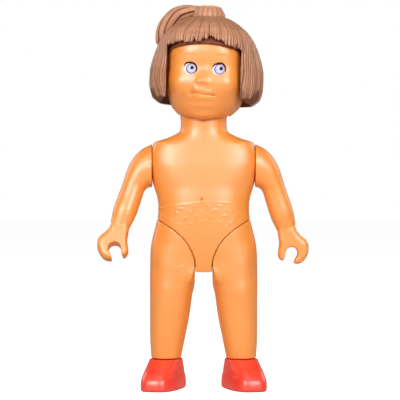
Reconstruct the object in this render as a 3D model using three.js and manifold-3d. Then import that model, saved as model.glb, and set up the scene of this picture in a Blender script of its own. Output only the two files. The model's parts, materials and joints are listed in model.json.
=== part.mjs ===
// A toy doll that fits building blocks: a jointed child figure with a moulded bob and side tail,
// two-part torso, swinging arms with grip hands, swinging legs and shoes with stud sockets.
// Units are millimetres, +Z is up, the doll faces -Y and stands on Z = 0.
import * as THREE from "three";
import { mergeVertices } from "three/addons/utils/BufferGeometryUtils.js";
import Module from "manifold-3d";

const wasm = await Module();
wasm.setup();

// Clearances
const seamGap = 0.4; // between pieces that move against each other
const fitGap = 0.3; // between pieces that stay fixed to each other
const cutOverrun = 3; // how far a cutting tool runs past its work

const weldTolerance = 1e-4;

// Torso, from the crotch up
const crotchHeight = 67;
const hipRise = 5; // from the crotch up to the axis the legs swing about
const seatRise = 12; // from that axis up to the widest of the seat
const waistRise = 35; // from that axis up to the waist
const shoulderRise = 20.9; // from the waist up to the axis the arms swing about
const neckBaseRise = 20.1; // from that axis up to the foot of the neck
const neckLength = 9;
const hipWidth = 62;
const seatWidth = 60.6;
const hipTopWidth = 53;
const waistWidth = 52.4;
const armpitWidth = 57.2;
const shoulderWidth = 58.8; // across the two flat faces the arms turn against
const neckWidth = 27;
const shoulderFaceHeight = 24.8;
const shoulderBulge = 2.2; // how far the chest would run past each flat face
const crotchFront = 12.2;
const hipFront = 13.9;
const seatFront = 15.8;
const bellyFront = 17;
const chestFront = 14.8;
const shoulderFront = 12.4;
const neckFront = 11.4;
const crotchBack = 12.4;
const hipBack = 15;
const seatBack = 16.6;
const waistBack = 12.8;
const chestBack = 13.2;
const shoulderBack = 11.8;
const neckBack = 11.2;
const hipHeight = crotchHeight + hipRise;
const seatHeight = hipHeight + seatRise;
const waistHeight = hipHeight + waistRise;
const shoulderHeight = waistHeight + shoulderRise;
const neckBaseHeight = shoulderHeight + neckBaseRise;
const neckTopHeight = neckBaseHeight + neckLength;

// Hip joint
const hipBallRadius = 25.2;
const hipBallInset = 4.6; // from the hip's outer side in to the ball's centre
const hipSkirtDrop = 10; // how far below the crotch the thigh still keeps within the ball
const hipWebWidth = 9.4; // the strip of torso between the legs
const hipAxleRadius = 2.5;
const hipCollarRadius = 3.4;
const hipCollarWidth = 3;
const hipHeadRadius = 3.6;
const hipHeadLength = 3;
const hipAxleGrip = 11.3; // how far the axle reaches into each leg
const hipBallOffset = hipWidth / 2 - hipBallInset;
const hipAxleReach = hipWebWidth / 2 + hipAxleGrip;

// Legs
const ankleHeight = 17;
const ankleTaper = 0.8; // how far the outer side draws in down to the ankle
const thighInnerReach = 5.8; // from the middle of the doll to the thigh's inner side
const kneeInnerReach = 8.3;
const calfInnerReach = 10.6;
const ankleInnerReach = 12.9;
const thighFront = 14.2;
const kneeFront = 12.4;
const calfFront = 11;
const ankleFront = 9.4;
const thighBack = 14.8;
const kneeBack = 12.6;
const calfBack = 12.4;
const ankleBack = 9.6;
const calfShare = 0.24; // of the leg's length, from the ankle up to the crotch
const kneeShare = 0.46;
const lowThighShare = 0.63;
const thighShare = 0.8;
const anklePegRadius = 5.2;
const anklePegLength = 7;
const anklePegHeadRadius = 6.2;
const anklePegHeadLength = 2.2;
const legOuterReach = hipWidth / 2;
const ankleOuterReach = legOuterReach - ankleTaper;

// Shoes
const shoeLength = 40.5;
const shoeHeelSetback = 14.5; // from the ankle's axis to the back of the heel
const shoeToeWidth = 20.9;
const shoeCollarWidth = 18.6;
const shoeCollarLength = 20.5;
const toeCapHeight = 8.8;
const shoeToeOut = 12; // degrees that each shoe points outwards
const shoeToeShift = 1.8; // how far the toe sits outwards of the ankle
const soleMargin = 2.1; // the plate round each stud socket
const studRadius = 4.75;
const studPitch = 16;
const studDepth = 5;
const soleRecess = 8;
const soleCornerRadius = 4;

// Arms
const armpitRadius = 4.4; // the curve under the arm
const armBend = 72; // degrees from the shoulder's axis to the arm's own line
const upperArmWidth = 13.3;
const forearmWidth = 13.7;
const wristWidth = 11.4;
const shoulderDepth = 21.6;
const upperArmDepth = 15;
const forearmDepth = 14;
const wristDepth = 10.4;
const armLength = 23.5; // from the end of the shoulder's bend to the wrist
const shoulderEase = 1.25; // how late the shoulder's round top turns down into the arm
const rightArmSwing = 17; // degrees forward in the rest pose

// Grip hands
const gripRadius = 3.7;
const gripMouth = 6.2; // the gap between thumb and finger
const gripMouthTurn = 19; // degrees that the gap points inwards from straight down
const palmDrop = 14.8; // from the wrist to the grip's centre
const palmInset = 1.8; // how far the grip's centre lies inwards of the arm's line
const handReach = 11.2; // from the grip's centre to the outer knuckles
const handDepth = 10;

// Shoulder pins
const shoulderPinRadius = 3;
const shoulderPinHeadRadius = 5;
const shoulderPinHeadLength = 2.4;
const shoulderWall = 3; // torso wall between the pin's head and the arm
const shoulderPinReach = 8; // how far the pin runs into the arm

// Neck plug
const neckPlugRadius = 4;
const neckFlangeRadius = 7.5;
const neckFlangeThickness = 2.5;
const neckWall = 4; // torso wall between the flange and the head
const neckPlugReach = 11.2; // how far the plug runs into the head
const neckPlugHeadRadius = 6;

// Head, from the chin up
const neckTuck = 3.6; // how far the chin hangs in front of the neck's top
const jawRise = 9.6;
const cheekRise = 10;
const eyeRise = 10.5;
const browRise = 9.5;
const crownRise = 18;
const headWidth = 45;
const jawWidth = 40.6;
const chinWidth = 17;
const crownWidth = 13;
const faceFront = 24.6;
const jawFront = 21.6;
const chinFront = 16.8;
const crownFront = 6;
const headBack = 21;
const jawBack = 15.5;
const chinBack = 9;
const crownBack = 6;
const headTurn = -5; // degrees that the head looks to the doll's right
const headLean = 2; // degrees that the head leans to the doll's left
const headShift = 0.8; // how far the plug's play lets the head sit to the doll's left
const neckPlay = 1.3; // room round the plug in the neck
const noseRise = 3.6;
const noseWidth = 6.4;
const noseLift = 0.6; // from the widest of the cheeks up to the nose
const mouthDrop = 4.4; // from the widest of the cheeks down to the mouth
const mouthWidth = 14.5;
const eyeSpacing = 16.6;
const eyeWidth = 6.8;
const cheekSpread = 12.4; // from the nose out to each cheek's highest place
const chinHeight = neckTopHeight - neckTuck;
const jawHeight = chinHeight + jawRise;
const cheekHeight = jawHeight + cheekRise;
const eyeHeight = cheekHeight + eyeRise;
const browHeight = eyeHeight + browRise;
const crownHeight = browHeight + crownRise;
const noseHeight = cheekHeight + noseLift;
const mouthHeight = cheekHeight - mouthDrop;

// Hair
const hairCrownWall = 3; // hair over the head's crown
const hairSideWall = 10.3; // hair beside the head
const hairFrontWall = 2.9; // hair over the forehead
const hairBackWall = 10;
const hairWall = 7; // the bob's wall round the nape
const hemDrop = 10; // from the widest of the cheeks down to the bob's hem
const fringeLift = 2.6; // from the brow up to the fringe's end
const fringeDrop = 3.8; // how much lower the fringe ends at the temples
const fringeTipWidth = 3.5;
const fringeTipDepth = 2.4;
const fringeStep = 1.3; // how far the fringe stands proud over the forehead
const fringeReach = 22; // from the middle out to where it has sunk into the side hair
const windowInset = 1; // how far the side hair reaches in over the face
const sideHairFront = 12; // from the head's axis forward to the side hair's edge
const strandCount = 26;
const strandDepth = 0.5;
const bobHeight = cheekHeight - hemDrop;
const bobTop = crownHeight + hairCrownWall;
const bobWidth = headWidth + 2 * hairSideWall;
const bobFront = faceFront + hairFrontWall;
const bobBack = headBack + hairBackWall;
const fringeHeight = browHeight + fringeLift;
const windowWidth = headWidth - 2 * windowInset;

// Hair tie on the crown
const tieBaseRadius = 9.6;
const tieTopRadius = 7;
const tieHeight = 5;
const tieRibCount = 18;
const tieRibDepth = 0.5;
const tieSink = 2.4; // how far the tie reaches into the bob's crown
const rimRadius = 5;
const rimHeight = 1.6;
const rimRise = 0.6; // how far the pale rim shows over the tie

// Side tail: its middle line in the head's own frame, from the tie round to its tip
const tailStartWidth = 5.2;
const tailWidth = 9.4;
const tailLobeDepth = 0.9; // how deep the grooves between its locks are
const tailLocks = 3;
const tailTwist = 100; // degrees that the locks turn from the tie to the tip
const tailRise = 2.7; // the tail's middle line over the bob's top
const tailReach = 27; // from the head's middle out to the tail's lowest stretch
const tailDrop = 18; // from the bob's top down to the tail's tip
const tailSetback = 4;

// Faceting
const torsoSides = 32;
const torsoSteps = 20;
const limbSides = 20;
const legSides = 28;
const legSteps = 14;
const shoeSides = 28;
const bendSteps = 6;
const armSteps = 8;
const handSides = 28;
const headSides = 36;
const headSteps = 14;
const hairSides = 78;
const hairSteps = 10;
const hollowSteps = 5;
const ballSides = 32;
const pinSides = 16;
const tailSides = 18;
const tailSteps = 12;
const cornerSides = 4;

// Superellipse powers: 2 is an ellipse, and larger values are squarer
const roundPower = 2.2;
const bodyPower = 2.4;
const chestPower = 3.2;
const headPower = 2.6;
const hairPower = 2.7;
const fringeFade = 6; // how late the fringe sinks into the hair round it
const shoePower = 3.4;
const shoeCollarPower = 2.6;

// Materials
const skin = new THREE.MeshStandardMaterial({ color: 0xf9a65c, roughness: 0.42, metalness: 0 });
const hairBrown = new THREE.MeshStandardMaterial({ color: 0xb67f64, roughness: 0.5, metalness: 0 });
const shoeRed = new THREE.MeshStandardMaterial({ color: 0xe92a18, roughness: 0.3, metalness: 0 });
const pinWhite = new THREE.MeshStandardMaterial({ color: 0xe8e4da, roughness: 0.5, metalness: 0 });
const rimCream = new THREE.MeshStandardMaterial({ color: 0xf0dcae, roughness: 0.6, metalness: 0 });

const degrees = THREE.MathUtils.degToRad;
const point = (x, y, z) => new THREE.Vector3(x, y, z);

/** Turns a closed geometry into a solid, whichever way round its faces were made. */
function solid(geometry) {
  const bare = geometry.index ? geometry.toNonIndexed() : geometry.clone();
  bare.deleteAttribute("normal");
  bare.deleteAttribute("uv");
  const merged = mergeVertices(bare, weldTolerance);
  const vertices = merged.attributes.position.array;
  const triangles = new Uint32Array(merged.index.array);
  const corner = (i) => new THREE.Vector3().fromArray(vertices, triangles[i] * 3);
  let volume = 0;
  for (let i = 0; i < triangles.length; i += 3) {
    volume += corner(i).dot(corner(i + 1).cross(corner(i + 2)));
  }
  if (volume < 0) {
    for (let i = 0; i < triangles.length; i += 3) {
      [triangles[i + 1], triangles[i + 2]] = [triangles[i + 2], triangles[i + 1]];
    }
  }
  return new wasm.Manifold(new wasm.Mesh({ numProp: 3, vertProperties: vertices, triVerts: triangles }));
}

/** Turns a finished solid back into a three.js geometry. */
function geometryOf(body) {
  const mesh = body.getMesh();
  const geometry = new THREE.BufferGeometry();
  geometry.setAttribute("position", new THREE.BufferAttribute(mesh.vertProperties, 3));
  geometry.setIndex(new THREE.BufferAttribute(mesh.triVerts, 1));
  geometry.computeVertexNormals();
  return geometry;
}

/** Joins a list of rings with as many points each into a closed skin, with a fan over each end. */
function skinOver(rings) {
  const sides = rings[0].length;
  const middle = (ring) => ring.reduce((sum, p) => sum.add(p), point(0, 0, 0)).divideScalar(sides);
  const points = [...rings.flat(), middle(rings[0]), middle(rings[rings.length - 1])];
  const index = [];
  for (let ring = 0; ring + 1 < rings.length; ring++) {
    for (let side = 0; side < sides; side++) {
      const next = (side + 1) % sides;
      const [a, b] = [ring * sides + side, ring * sides + next];
      index.push(a, b, a + sides, b, b + sides, a + sides);
    }
  }
  const last = (rings.length - 1) * sides;
  const [firstFan, lastFan] = [points.length - 2, points.length - 1];
  for (let side = 0; side < sides; side++) {
    const next = (side + 1) % sides;
    index.push(firstFan, next, side, lastFan, last + side, last + next);
  }
  const geometry = new THREE.BufferGeometry().setFromPoints(points);
  geometry.setIndex(index);
  return solid(geometry);
}

/** A superellipse's unit point at an angle: x runs across, y from front (-1) to back (1). */
function unitSection(angle, power) {
  const bend = (value) => Math.sign(value) * Math.abs(value) ** (2 / power);
  return [bend(Math.cos(angle)), bend(Math.sin(angle))];
}

/** A level ring around a centre, with its own depth in front and behind. */
function levelRing(level, sides, relief = () => 0) {
  return Array.from({ length: sides }, (_, side) => {
    const [across, along] = unitSection((side / sides) * 2 * Math.PI, level.power);
    const x = level.x + across * level.halfWidth;
    const depth = along < 0 ? level.front : level.back;
    const y = along * depth;
    const swell = along < 0 ? relief(x, level.height) : 0;
    return point(x, y - swell, level.height);
  });
}

const curveThrough = (points) => new THREE.CatmullRomCurve3(points, false, "catmullrom");

/** Smooth levels between a few named ones, evenly spaced by index. */
function smoothLevels(levels, steps) {
  const place = curveThrough(levels.map((l) => point(l.x, l.power, l.height)));
  const size = curveThrough(levels.map((l) => point(l.halfWidth, l.front, l.back)));
  return Array.from({ length: steps + 1 }, (_, step) => {
    const p = place.getPoint(step / steps);
    const s = size.getPoint(step / steps);
    return { x: p.x, power: p.y, height: p.z, halfWidth: s.x, front: s.y, back: s.z };
  });
}

/** A level of a loft: full width, and depth in front and behind. */
function level(height, width, front, back, power = bodyPower, x = 0) {
  return { height, halfWidth: width / 2, front, back, power, x };
}

/** A level given by its inner and outer reach from the middle of the doll. */
function sideLevel(height, inner, outer, front, back, power = roundPower) {
  return level(height, outer - inner, front, back, power, (outer + inner) / 2);
}

function loft(levels, steps, sides, relief) {
  return skinOver(smoothLevels(levels, steps).map((l) => levelRing(l, sides, relief)));
}

function box(width, depth, height, x, y, z) {
  return solid(new THREE.BoxGeometry(width, depth, height).translate(x, y, z));
}

/** A turned piece along X: a list of [distance along X, radius] pairs that closes on the axis. */
function turnedAlongX(profile, sides = pinSides) {
  const outline = [[profile[0][0], 0], ...profile, [profile[profile.length - 1][0], 0]];
  const half = outline.map(([along, radius]) => new THREE.Vector2(radius, along));
  return solid(new THREE.LatheGeometry(half, sides).rotateZ(-Math.PI / 2));
}

/** A turned piece along Z, from [height, radius] pairs. */
function turnedAlongZ(profile, sides = pinSides) {
  const outline = [[profile[0][0], 0], ...profile, [profile[profile.length - 1][0], 0]];
  const half = outline.map(([height, radius]) => new THREE.Vector2(radius, height));
  return solid(new THREE.LatheGeometry(half, sides).rotateX(Math.PI / 2));
}

const mirrorX = (body) => body.mirror([1, 0, 0]);

// The whole trunk before it is split and cut for the limbs
const armpitHeight = shoulderHeight - shoulderFaceHeight / 2;
const shoulderTopHeight = shoulderHeight + shoulderFaceHeight / 2;
const hipTopHeight = hipHeight + hipBallRadius;
const neckRun = neckBaseHeight - shoulderTopHeight;
const slopeShares = [[0.36, 0.56], [0.68, 0.22]]; // shares of the rise, and of the width left to lose

function trunkLevels() {
  const slope = slopeShares.map(([rise, width]) => level(
    shoulderTopHeight + neckRun * rise,
    neckWidth + (shoulderWidth - neckWidth) * width,
    neckFront + (shoulderFront - neckFront) * width,
    neckBack + (shoulderBack - neckBack) * width,
  ));
  return [
    level(crotchHeight, hipWidth, crotchFront, crotchBack),
    level(hipHeight, hipWidth, hipFront, hipBack),
    level(seatHeight, seatWidth, seatFront, seatBack),
    level(hipTopHeight, hipTopWidth, bellyFront, (seatBack + waistBack) / 2),
    level(waistHeight, waistWidth, bellyFront, waistBack),
    level(armpitHeight, armpitWidth, (bellyFront + chestFront) / 2, waistBack),
    level(shoulderHeight, shoulderWidth + 2 * shoulderBulge, chestFront, chestBack, chestPower),
    level(shoulderTopHeight, shoulderWidth, shoulderFront, shoulderBack, chestPower),
    ...slope,
    level(neckBaseHeight, neckWidth, neckFront, neckBack, roundPower),
    level(neckTopHeight, neckWidth, neckFront, neckBack, roundPower),
  ];
}

/** The ball that a leg turns in, on the doll's left. */
function hipBall(radius) {
  const ball = new THREE.SphereGeometry(radius, ballSides, ballSides / 2).rotateZ(Math.PI / 2);
  return solid(ball.translate(hipBallOffset, 0, hipHeight));
}

/** What one leg takes out of the trunk: its ball, and everything below the hip's axis. */
function hipCut() {
  const reach = Math.max(hipWidth, seatWidth) / 2 + cutOverrun;
  const webSide = hipWebWidth / 2;
  const span = reach - webSide;
  const deep = 2 * (seatBack + cutOverrun);
  const below = hipHeight - crotchHeight + cutOverrun;
  const above = hipBallRadius + cutOverrun;
  const lower = box(span, deep, below, webSide + span / 2, 0, hipHeight - below / 2);
  const side = box(span, deep, above, webSide + span / 2, 0, hipHeight + above / 2);
  return lower.add(hipBall(hipBallRadius + seamGap).intersect(side));
}

/** Room in the torso for the hip axle, the shoulder pins and the neck plug. */
function torsoPockets() {
  const wall = shoulderWidth / 2;
  const pinHead = wall - shoulderWall;
  const shoulder = turnedAlongX([
    [pinHead - shoulderPinHeadLength - 2 * seamGap, shoulderPinHeadRadius + seamGap],
    [pinHead, shoulderPinHeadRadius + seamGap],
    [pinHead, shoulderPinRadius + seamGap],
    [wall + cutOverrun, shoulderPinRadius + seamGap],
  ]).translate([0, 0, shoulderHeight]);
  const collar = hipCollarWidth / 2 + fitGap;
  const web = hipWebWidth / 2 + cutOverrun;
  const hip = turnedAlongX([
    [-web, hipAxleRadius + fitGap], [-collar, hipAxleRadius + fitGap],
    [-collar, hipCollarRadius + fitGap], [collar, hipCollarRadius + fitGap],
    [collar, hipAxleRadius + fitGap], [web, hipAxleRadius + fitGap],
  ]).translate([0, 0, hipHeight]);
  const flangeTop = neckTopHeight - neckWall;
  const neck = turnedAlongZ([
    [flangeTop - neckFlangeThickness - 2 * seamGap, neckFlangeRadius + neckPlay],
    [flangeTop, neckFlangeRadius + neckPlay],
    [flangeTop, neckPlugRadius + neckPlay],
    [neckTopHeight + cutOverrun, neckPlugRadius + neckPlay],
  ]);
  return shoulder.add(mirrorX(shoulder)).add(hip).add(neck);
}

function trunk() {
  const whole = loft(trunkLevels(), torsoSteps, torsoSides);
  const tall = neckTopHeight + 2 * cutOverrun;
  const squared = whole.intersect(box(shoulderWidth, 2 * tall, tall, 0, 0, neckTopHeight / 2));
  const below = whole.intersect(box(2 * hipWidth, 2 * tall, waistHeight, 0, 0, waistHeight / 2));
  const cut = hipCut();
  return squared.add(below).subtract(cut).subtract(mirrorX(cut)).subtract(torsoPockets());
}

/** One half of the torso: sign -1 is the front, 1 the back. */
function torsoHalf(whole, sign) {
  const deep = seatBack + bellyFront + cutOverrun;
  const seam = fitGap / 2;
  const side = box(2 * hipWidth, deep, 2 * neckTopHeight, 0, sign * (deep / 2 + seam), neckTopHeight / 2);
  return whole.intersect(side);
}

// Legs
const webFace = hipWebWidth / 2 + seamGap;

function legLevels() {
  const top = hipTopHeight + cutOverrun;
  const shape = smoothLevels(trunkLevels(), torsoSteps);
  const trunkAt = (height) => {
    const above = shape.findIndex((l) => l.height >= height);
    const [a, b] = [shape[Math.max(above - 1, 0)], shape[above]];
    const t = b.height > a.height ? (height - a.height) / (b.height - a.height) : 0;
    const mix = (key) => a[key] + (b[key] - a[key]) * t;
    return level(height, 2 * mix("halfWidth"), mix("front"), mix("back"), mix("power"));
  };
  const [overSeat, underSeat] = [(hipTopHeight + seatHeight) / 2, (seatHeight + hipHeight) / 2];
  const upper = [top, hipTopHeight, overSeat, seatHeight, underSeat, hipHeight];
  const length = crotchHeight - ankleHeight;
  const heightAt = (share) => ankleHeight + length * share;
  const thighHeight = heightAt(thighShare);
  const groin = hipHeight - thighHeight;
  const groinShares = [[0.22, 0.6], [0.45, 0.24], [0.7, 0.05]]; // of the drop, and of the inner reach left
  const thighWidest = legOuterReach + hipWidth / 2;
  const blend = groinShares.map(([drop, left]) => {
    const width = thighInnerReach - left * thighWidest;
    const front = thighFront + (hipFront - thighFront) * left;
    const back = thighBack + (hipBack - thighBack) * left;
    return sideLevel(hipHeight - groin * drop, width, legOuterReach, front, back, bodyPower);
  });
  return [
    ...upper.map(trunkAt),
    ...blend,
    sideLevel(thighHeight, thighInnerReach, legOuterReach, thighFront, thighBack),
    sideLevel(heightAt(lowThighShare), (thighInnerReach + kneeInnerReach) / 2, legOuterReach,
      (thighFront + kneeFront) / 2, (thighBack + kneeBack) / 2),
    sideLevel(heightAt(kneeShare), kneeInnerReach, legOuterReach, kneeFront, kneeBack),
    sideLevel(heightAt(calfShare), calfInnerReach, legOuterReach, calfFront, calfBack),
    sideLevel(ankleHeight + fitGap, ankleInnerReach, ankleOuterReach, ankleFront, ankleBack),
  ];
}

const ankleX = (ankleInnerReach + ankleOuterReach) / 2;

/** The peg under the ankle that the shoe is fixed to. Extra widens it into the shoe's socket. */
function anklePeg(extra) {
  const shoulder = ankleHeight - anklePegLength + anklePegHeadLength;
  return turnedAlongZ([
    [ankleHeight - anklePegLength - extra, anklePegHeadRadius + extra],
    [shoulder + extra, anklePegHeadRadius + extra],
    [shoulder + extra, anklePegRadius + extra],
    [ankleHeight + 2 * fitGap, anklePegRadius + extra],
  ]).translate([ankleX, 0, 0]);
}

function leftLeg() {
  const whole = loft(legLevels(), legSteps, legSides);
  const span = 2 * hipWidth;
  const skirt = crotchHeight - hipSkirtDrop;
  const below = box(span, span, skirt, webFace + span / 2, 0, skirt / 2);
  const ballSide = box(span, span, span, webFace + span / 2, 0, hipHeight);
  const dome = hipBall(hipBallRadius).intersect(ballSide);
  const bore = hipAxleReach - hipHeadLength;
  const socket = turnedAlongX([
    [0, hipAxleRadius + seamGap], [bore - seamGap, hipAxleRadius + seamGap],
    [bore - seamGap, hipHeadRadius + seamGap], [hipAxleReach + seamGap, hipHeadRadius + seamGap],
  ]).translate([0, 0, hipHeight]);
  return whole.intersect(below.add(dome)).add(anklePeg(0)).subtract(socket);
}

function hipAxle() {
  const collar = hipCollarWidth / 2;
  const neck = hipAxleReach - hipHeadLength;
  const half = [
    [collar, hipCollarRadius], [collar, hipAxleRadius], [neck, hipAxleRadius],
    [neck, hipHeadRadius], [hipAxleReach, hipAxleRadius],
  ];
  const other = half.map(([along, radius]) => [-along, radius]).reverse();
  return turnedAlongX([...other, ...half]).translate([0, 0, hipHeight]);
}

// Shoes
const shoeToe = shoeLength - shoeHeelSetback;

/** One level ring of the shoe: rounded toe in front, squarer heel behind. */
function shoeRing(height, front, back, width, shift, power) {
  return Array.from({ length: shoeSides }, (_, side) => {
    const [across, along] = unitSection((side / shoeSides) * 2 * Math.PI, power);
    const depth = along < 0 ? front : back;
    const toe = Math.max(-along, 0);
    return point(across * width / 2 + shift * toe, along * depth, height);
  });
}

/** The left shoe's outer form about the ankle's axis. */
function shoeForm() {
  const capShares = [[0, 0.965, 0.95], [0.12, 1, 1], [0.45, 1, 0.995], [0.75, 0.98, 0.97], [1, 0.92, 0.9]];
  const riseShares = [[0.3, 0.78, 0.9], [0.62, 0.6, 0.86]];
  const cap = capShares.map(([rise, width, length]) => shoeRing(
    toeCapHeight * rise, shoeToe * length, shoeHeelSetback * length,
    shoeToeWidth * width, shoeToeShift, shoePower,
  ));
  const collarRise = ankleHeight - toeCapHeight;
  const instep = riseShares.map(([rise, length, width]) => shoeRing(
    toeCapHeight + collarRise * rise, shoeToe * length, shoeHeelSetback * width,
    shoeToeWidth * width, shoeToeShift * length, shoePower,
  ));
  const collarHalf = shoeCollarLength / 2;
  const collar = shoeRing(ankleHeight, collarHalf, collarHalf, shoeCollarWidth, 0, shoeCollarPower);
  return skinOver([...cap, ...instep, collar]);
}

const studPlaces = [-studPitch / 2, studPitch / 2].map((y) => y - (shoeToe - shoeHeelSetback) / 2);

/** The plate under the shoe, with its two round stud sockets. Extra widens it into its recess. */
function solePlate(extra) {
  const width = 2 * studRadius + 2 * soleMargin + 2 * extra;
  const length = studPitch + 2 * studRadius + 2 * soleMargin + 2 * extra;
  const outline = new THREE.Shape();
  const [x, y, r] = [width / 2, length / 2, soleCornerRadius];
  outline.moveTo(x, y - r).absarc(x - r, y - r, r, 0, Math.PI / 2);
  outline.absarc(r - x, y - r, r, Math.PI / 2, Math.PI);
  outline.absarc(r - x, r - y, r, Math.PI, 1.5 * Math.PI);
  outline.absarc(x - r, r - y, r, 1.5 * Math.PI, 2 * Math.PI);
  const height = soleRecess - fitGap + extra;
  const shape = { depth: height, bevelEnabled: false, curveSegments: cornerSides };
  const geometry = new THREE.ExtrudeGeometry(outline, shape);
  return solid(geometry.translate(0, -(shoeToe - shoeHeelSetback) / 2, 0));
}

function studHole(y) {
  return turnedAlongZ([[-cutOverrun, studRadius], [studDepth, studRadius]]).translate([0, y, 0]);
}

const shoePlace = (body) => body.rotate([0, 0, shoeToeOut]).translate([ankleX, 0, 0]);

function leftShoe() {
  const recess = solePlate(fitGap).add(solePlate(fitGap).translate([0, 0, -cutOverrun]));
  return shoePlace(shoeForm().subtract(recess)).subtract(anklePeg(fitGap));
}

function leftSole() {
  return shoePlace(studPlaces.reduce((plate, y) => plate.subtract(studHole(y)), solePlate(0)));
}

// Arms
const armFace = shoulderWidth / 2 + seamGap;
const bendCentreHeight = armpitHeight - armpitRadius;

/** The arm's ring at a bend angle: it lies in a plane through the curve's centre under the arm. */
function armRing(angle, inner, outer, depth, power, slide) {
  const [sine, cosine] = [Math.sin(degrees(angle)), Math.cos(degrees(angle))];
  const middle = (inner + outer) / 2;
  const half = (outer - inner) / 2;
  return Array.from({ length: limbSides }, (_, side) => {
    const [across, along] = unitSection((side / limbSides) * 2 * Math.PI, power);
    const reach = middle + across * half;
    const [x, z] = [reach * sine + slide * cosine, reach * cosine - slide * sine];
    return point(armFace + x, (along * depth) / 2, bendCentreHeight + z);
  });
}

function armRings() {
  const shoulderOuter = armpitRadius + shoulderFaceHeight;
  const upperOuter = armpitRadius + upperArmWidth;
  const ease = (t) => Math.sin((t * Math.PI) / 2) ** shoulderEase;
  const bend = Array.from({ length: bendSteps + 1 }, (_, step) => {
    const t = step / bendSteps;
    const outer = THREE.MathUtils.lerp(shoulderOuter, upperOuter, ease(t));
    const depth = THREE.MathUtils.lerp(shoulderDepth, upperArmDepth, t);
    return armRing(armBend * t, armpitRadius, outer, depth, roundPower, 0);
  });
  const widths = [upperArmWidth, forearmWidth, forearmWidth, wristWidth];
  const depths = [upperArmDepth, forearmDepth, forearmDepth, wristDepth];
  const curve = curveThrough(widths.map((w, i) => point(w, depths[i], 0)));
  const straight = Array.from({ length: armSteps }, (_, step) => {
    const t = (step + 1) / armSteps;
    const size = curve.getPoint(t);
    const middle = armpitRadius + upperArmWidth / 2;
    return armRing(armBend, middle - size.x / 2, middle + size.x / 2, size.y, roundPower, armLength * t);
  });
  return [...bend, ...straight];
}

// Where the hand's outline lies round the grip's centre: degrees from straight outwards, share of its reach
const handShares = [
  [0, 0.86], [27, 0.99], [42, 1.02], [58, 1.01], [74, 1.13], [86, 1.5], [105, 1.6], [118, 1.45], [128, 1.1],
  [141, 0.78], [177, 0.7], [196, 0.71], [212, 0.67], [240, 0.5], [270, 0.47], [290, 0.58], [308, 0.68],
  [330, 0.75], [347, 0.79],
];
// Of the hand's half depth, and of its size there
const handEdgeShares = [[-1, 0.78], [-0.9, 0.9], [-0.62, 1], [0.62, 1], [0.9, 0.9], [1, 0.78]];

/** The grip's centre, found along the arm's own line from the wrist. */
function gripCentre() {
  const [sine, cosine] = [Math.sin(degrees(armBend)), Math.cos(degrees(armBend))];
  const across = armpitRadius + upperArmWidth / 2 - palmInset;
  const down = armLength + palmDrop;
  const [x, z] = [across * sine + down * cosine, across * cosine - down * sine];
  return point(armFace + x, 0, bendCentreHeight + z);
}

/** The hand: a rounded form round the grip's centre, with the grip and its mouth cut through it. */
function leftHand() {
  const centre = gripCentre();
  const outline = handShares.map(([angle, share]) => {
    const reach = handReach * share;
    return point(Math.cos(degrees(angle)) * reach, 0, Math.sin(degrees(angle)) * reach);
  });
  const curve = new THREE.CatmullRomCurve3(outline, true, "centripetal");
  const edge = curve.getPoints(handSides).slice(0, -1);
  const rings = handEdgeShares.map(([depth, size]) => edge.map((p) => {
    return p.clone().multiplyScalar(size).add(centre).setY(depth * handDepth / 2);
  }));
  const through = handDepth + 2 * cutOverrun;
  const bore = solid(new THREE.CylinderGeometry(gripRadius, gripRadius, through, limbSides));
  const slot = box(gripMouth, through, handReach + cutOverrun, 0, 0, -(handReach + cutOverrun) / 2);
  const opening = bore.add(slot.rotate([0, gripMouthTurn, 0])).translate(centre.toArray());
  return skinOver(rings).subtract(opening);
}

/** Room in the arm for the pin it turns on. */
function shoulderPin(extra) {
  const head = shoulderWidth / 2 - shoulderWall - seamGap;
  const end = armFace + shoulderPinReach;
  return turnedAlongX([
    [head - shoulderPinHeadLength - extra, shoulderPinHeadRadius + extra],
    [head + extra, shoulderPinHeadRadius + extra],
    [head + extra, shoulderPinRadius + extra],
    [end + extra, shoulderPinRadius + extra],
  ]).translate([0, 0, shoulderHeight]);
}

function leftArm() {
  return skinOver(armRings()).add(leftHand()).subtract(shoulderPin(fitGap));
}

// Head, in its own upright frame
// Each swell: its height, its own size, and its spread to either side; then shares of that size for
// its lift, half width and half height, and its share of the nose's rise
const faceShares = [
  { height: noseHeight, size: noseWidth, spread: 0, shares: [0, 0.5, 0.55, 1] },
  { height: noseHeight, size: noseWidth, spread: 0, shares: [1, 0.5, 1, 0.3] },
  { height: mouthHeight, size: mouthWidth, spread: 0, shares: [0.1, 0.3, 0.12, 0.4] },
  { height: mouthHeight, size: mouthWidth, spread: 0, shares: [-0.16, 0.26, 0.13, 0.4] },
  { height: mouthHeight, size: mouthWidth, spread: 0, shares: [0, 0.5, 0.05, -0.3] },
  { height: jawHeight, size: mouthWidth, spread: 0, shares: [-0.12, 0.42, 0.22, 0.35] },
  ...[-1, 1].flatMap((side) => [
    { height: eyeHeight, size: eyeWidth, spread: (side * eyeSpacing) / 2, shares: [0, 0.75, 0.7, -0.35] },
    { height: cheekHeight, size: eyeWidth, spread: side * cheekSpread, shares: [0, 0.9, 0.9, 0.3] },
  ]),
];

function reliefAt(x, height) {
  return faceShares.reduce((sum, { height: place, size, spread, shares: [lift, wide, tall, rise] }) => {
    const across = (x - spread) / (size * wide);
    const up = (height - place - size * lift) / (size * tall);
    return sum + noseRise * rise * Math.exp(-(across ** 2) - up ** 2);
  }, 0);
}

const lowJawShare = 0.72; // of the way from the chin's width to the jaw's, half way up
const domeShares = [[0.42, 0.9, 0.92], [0.74, 0.7, 0.74]]; // rise from the brow, width and depth

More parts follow.
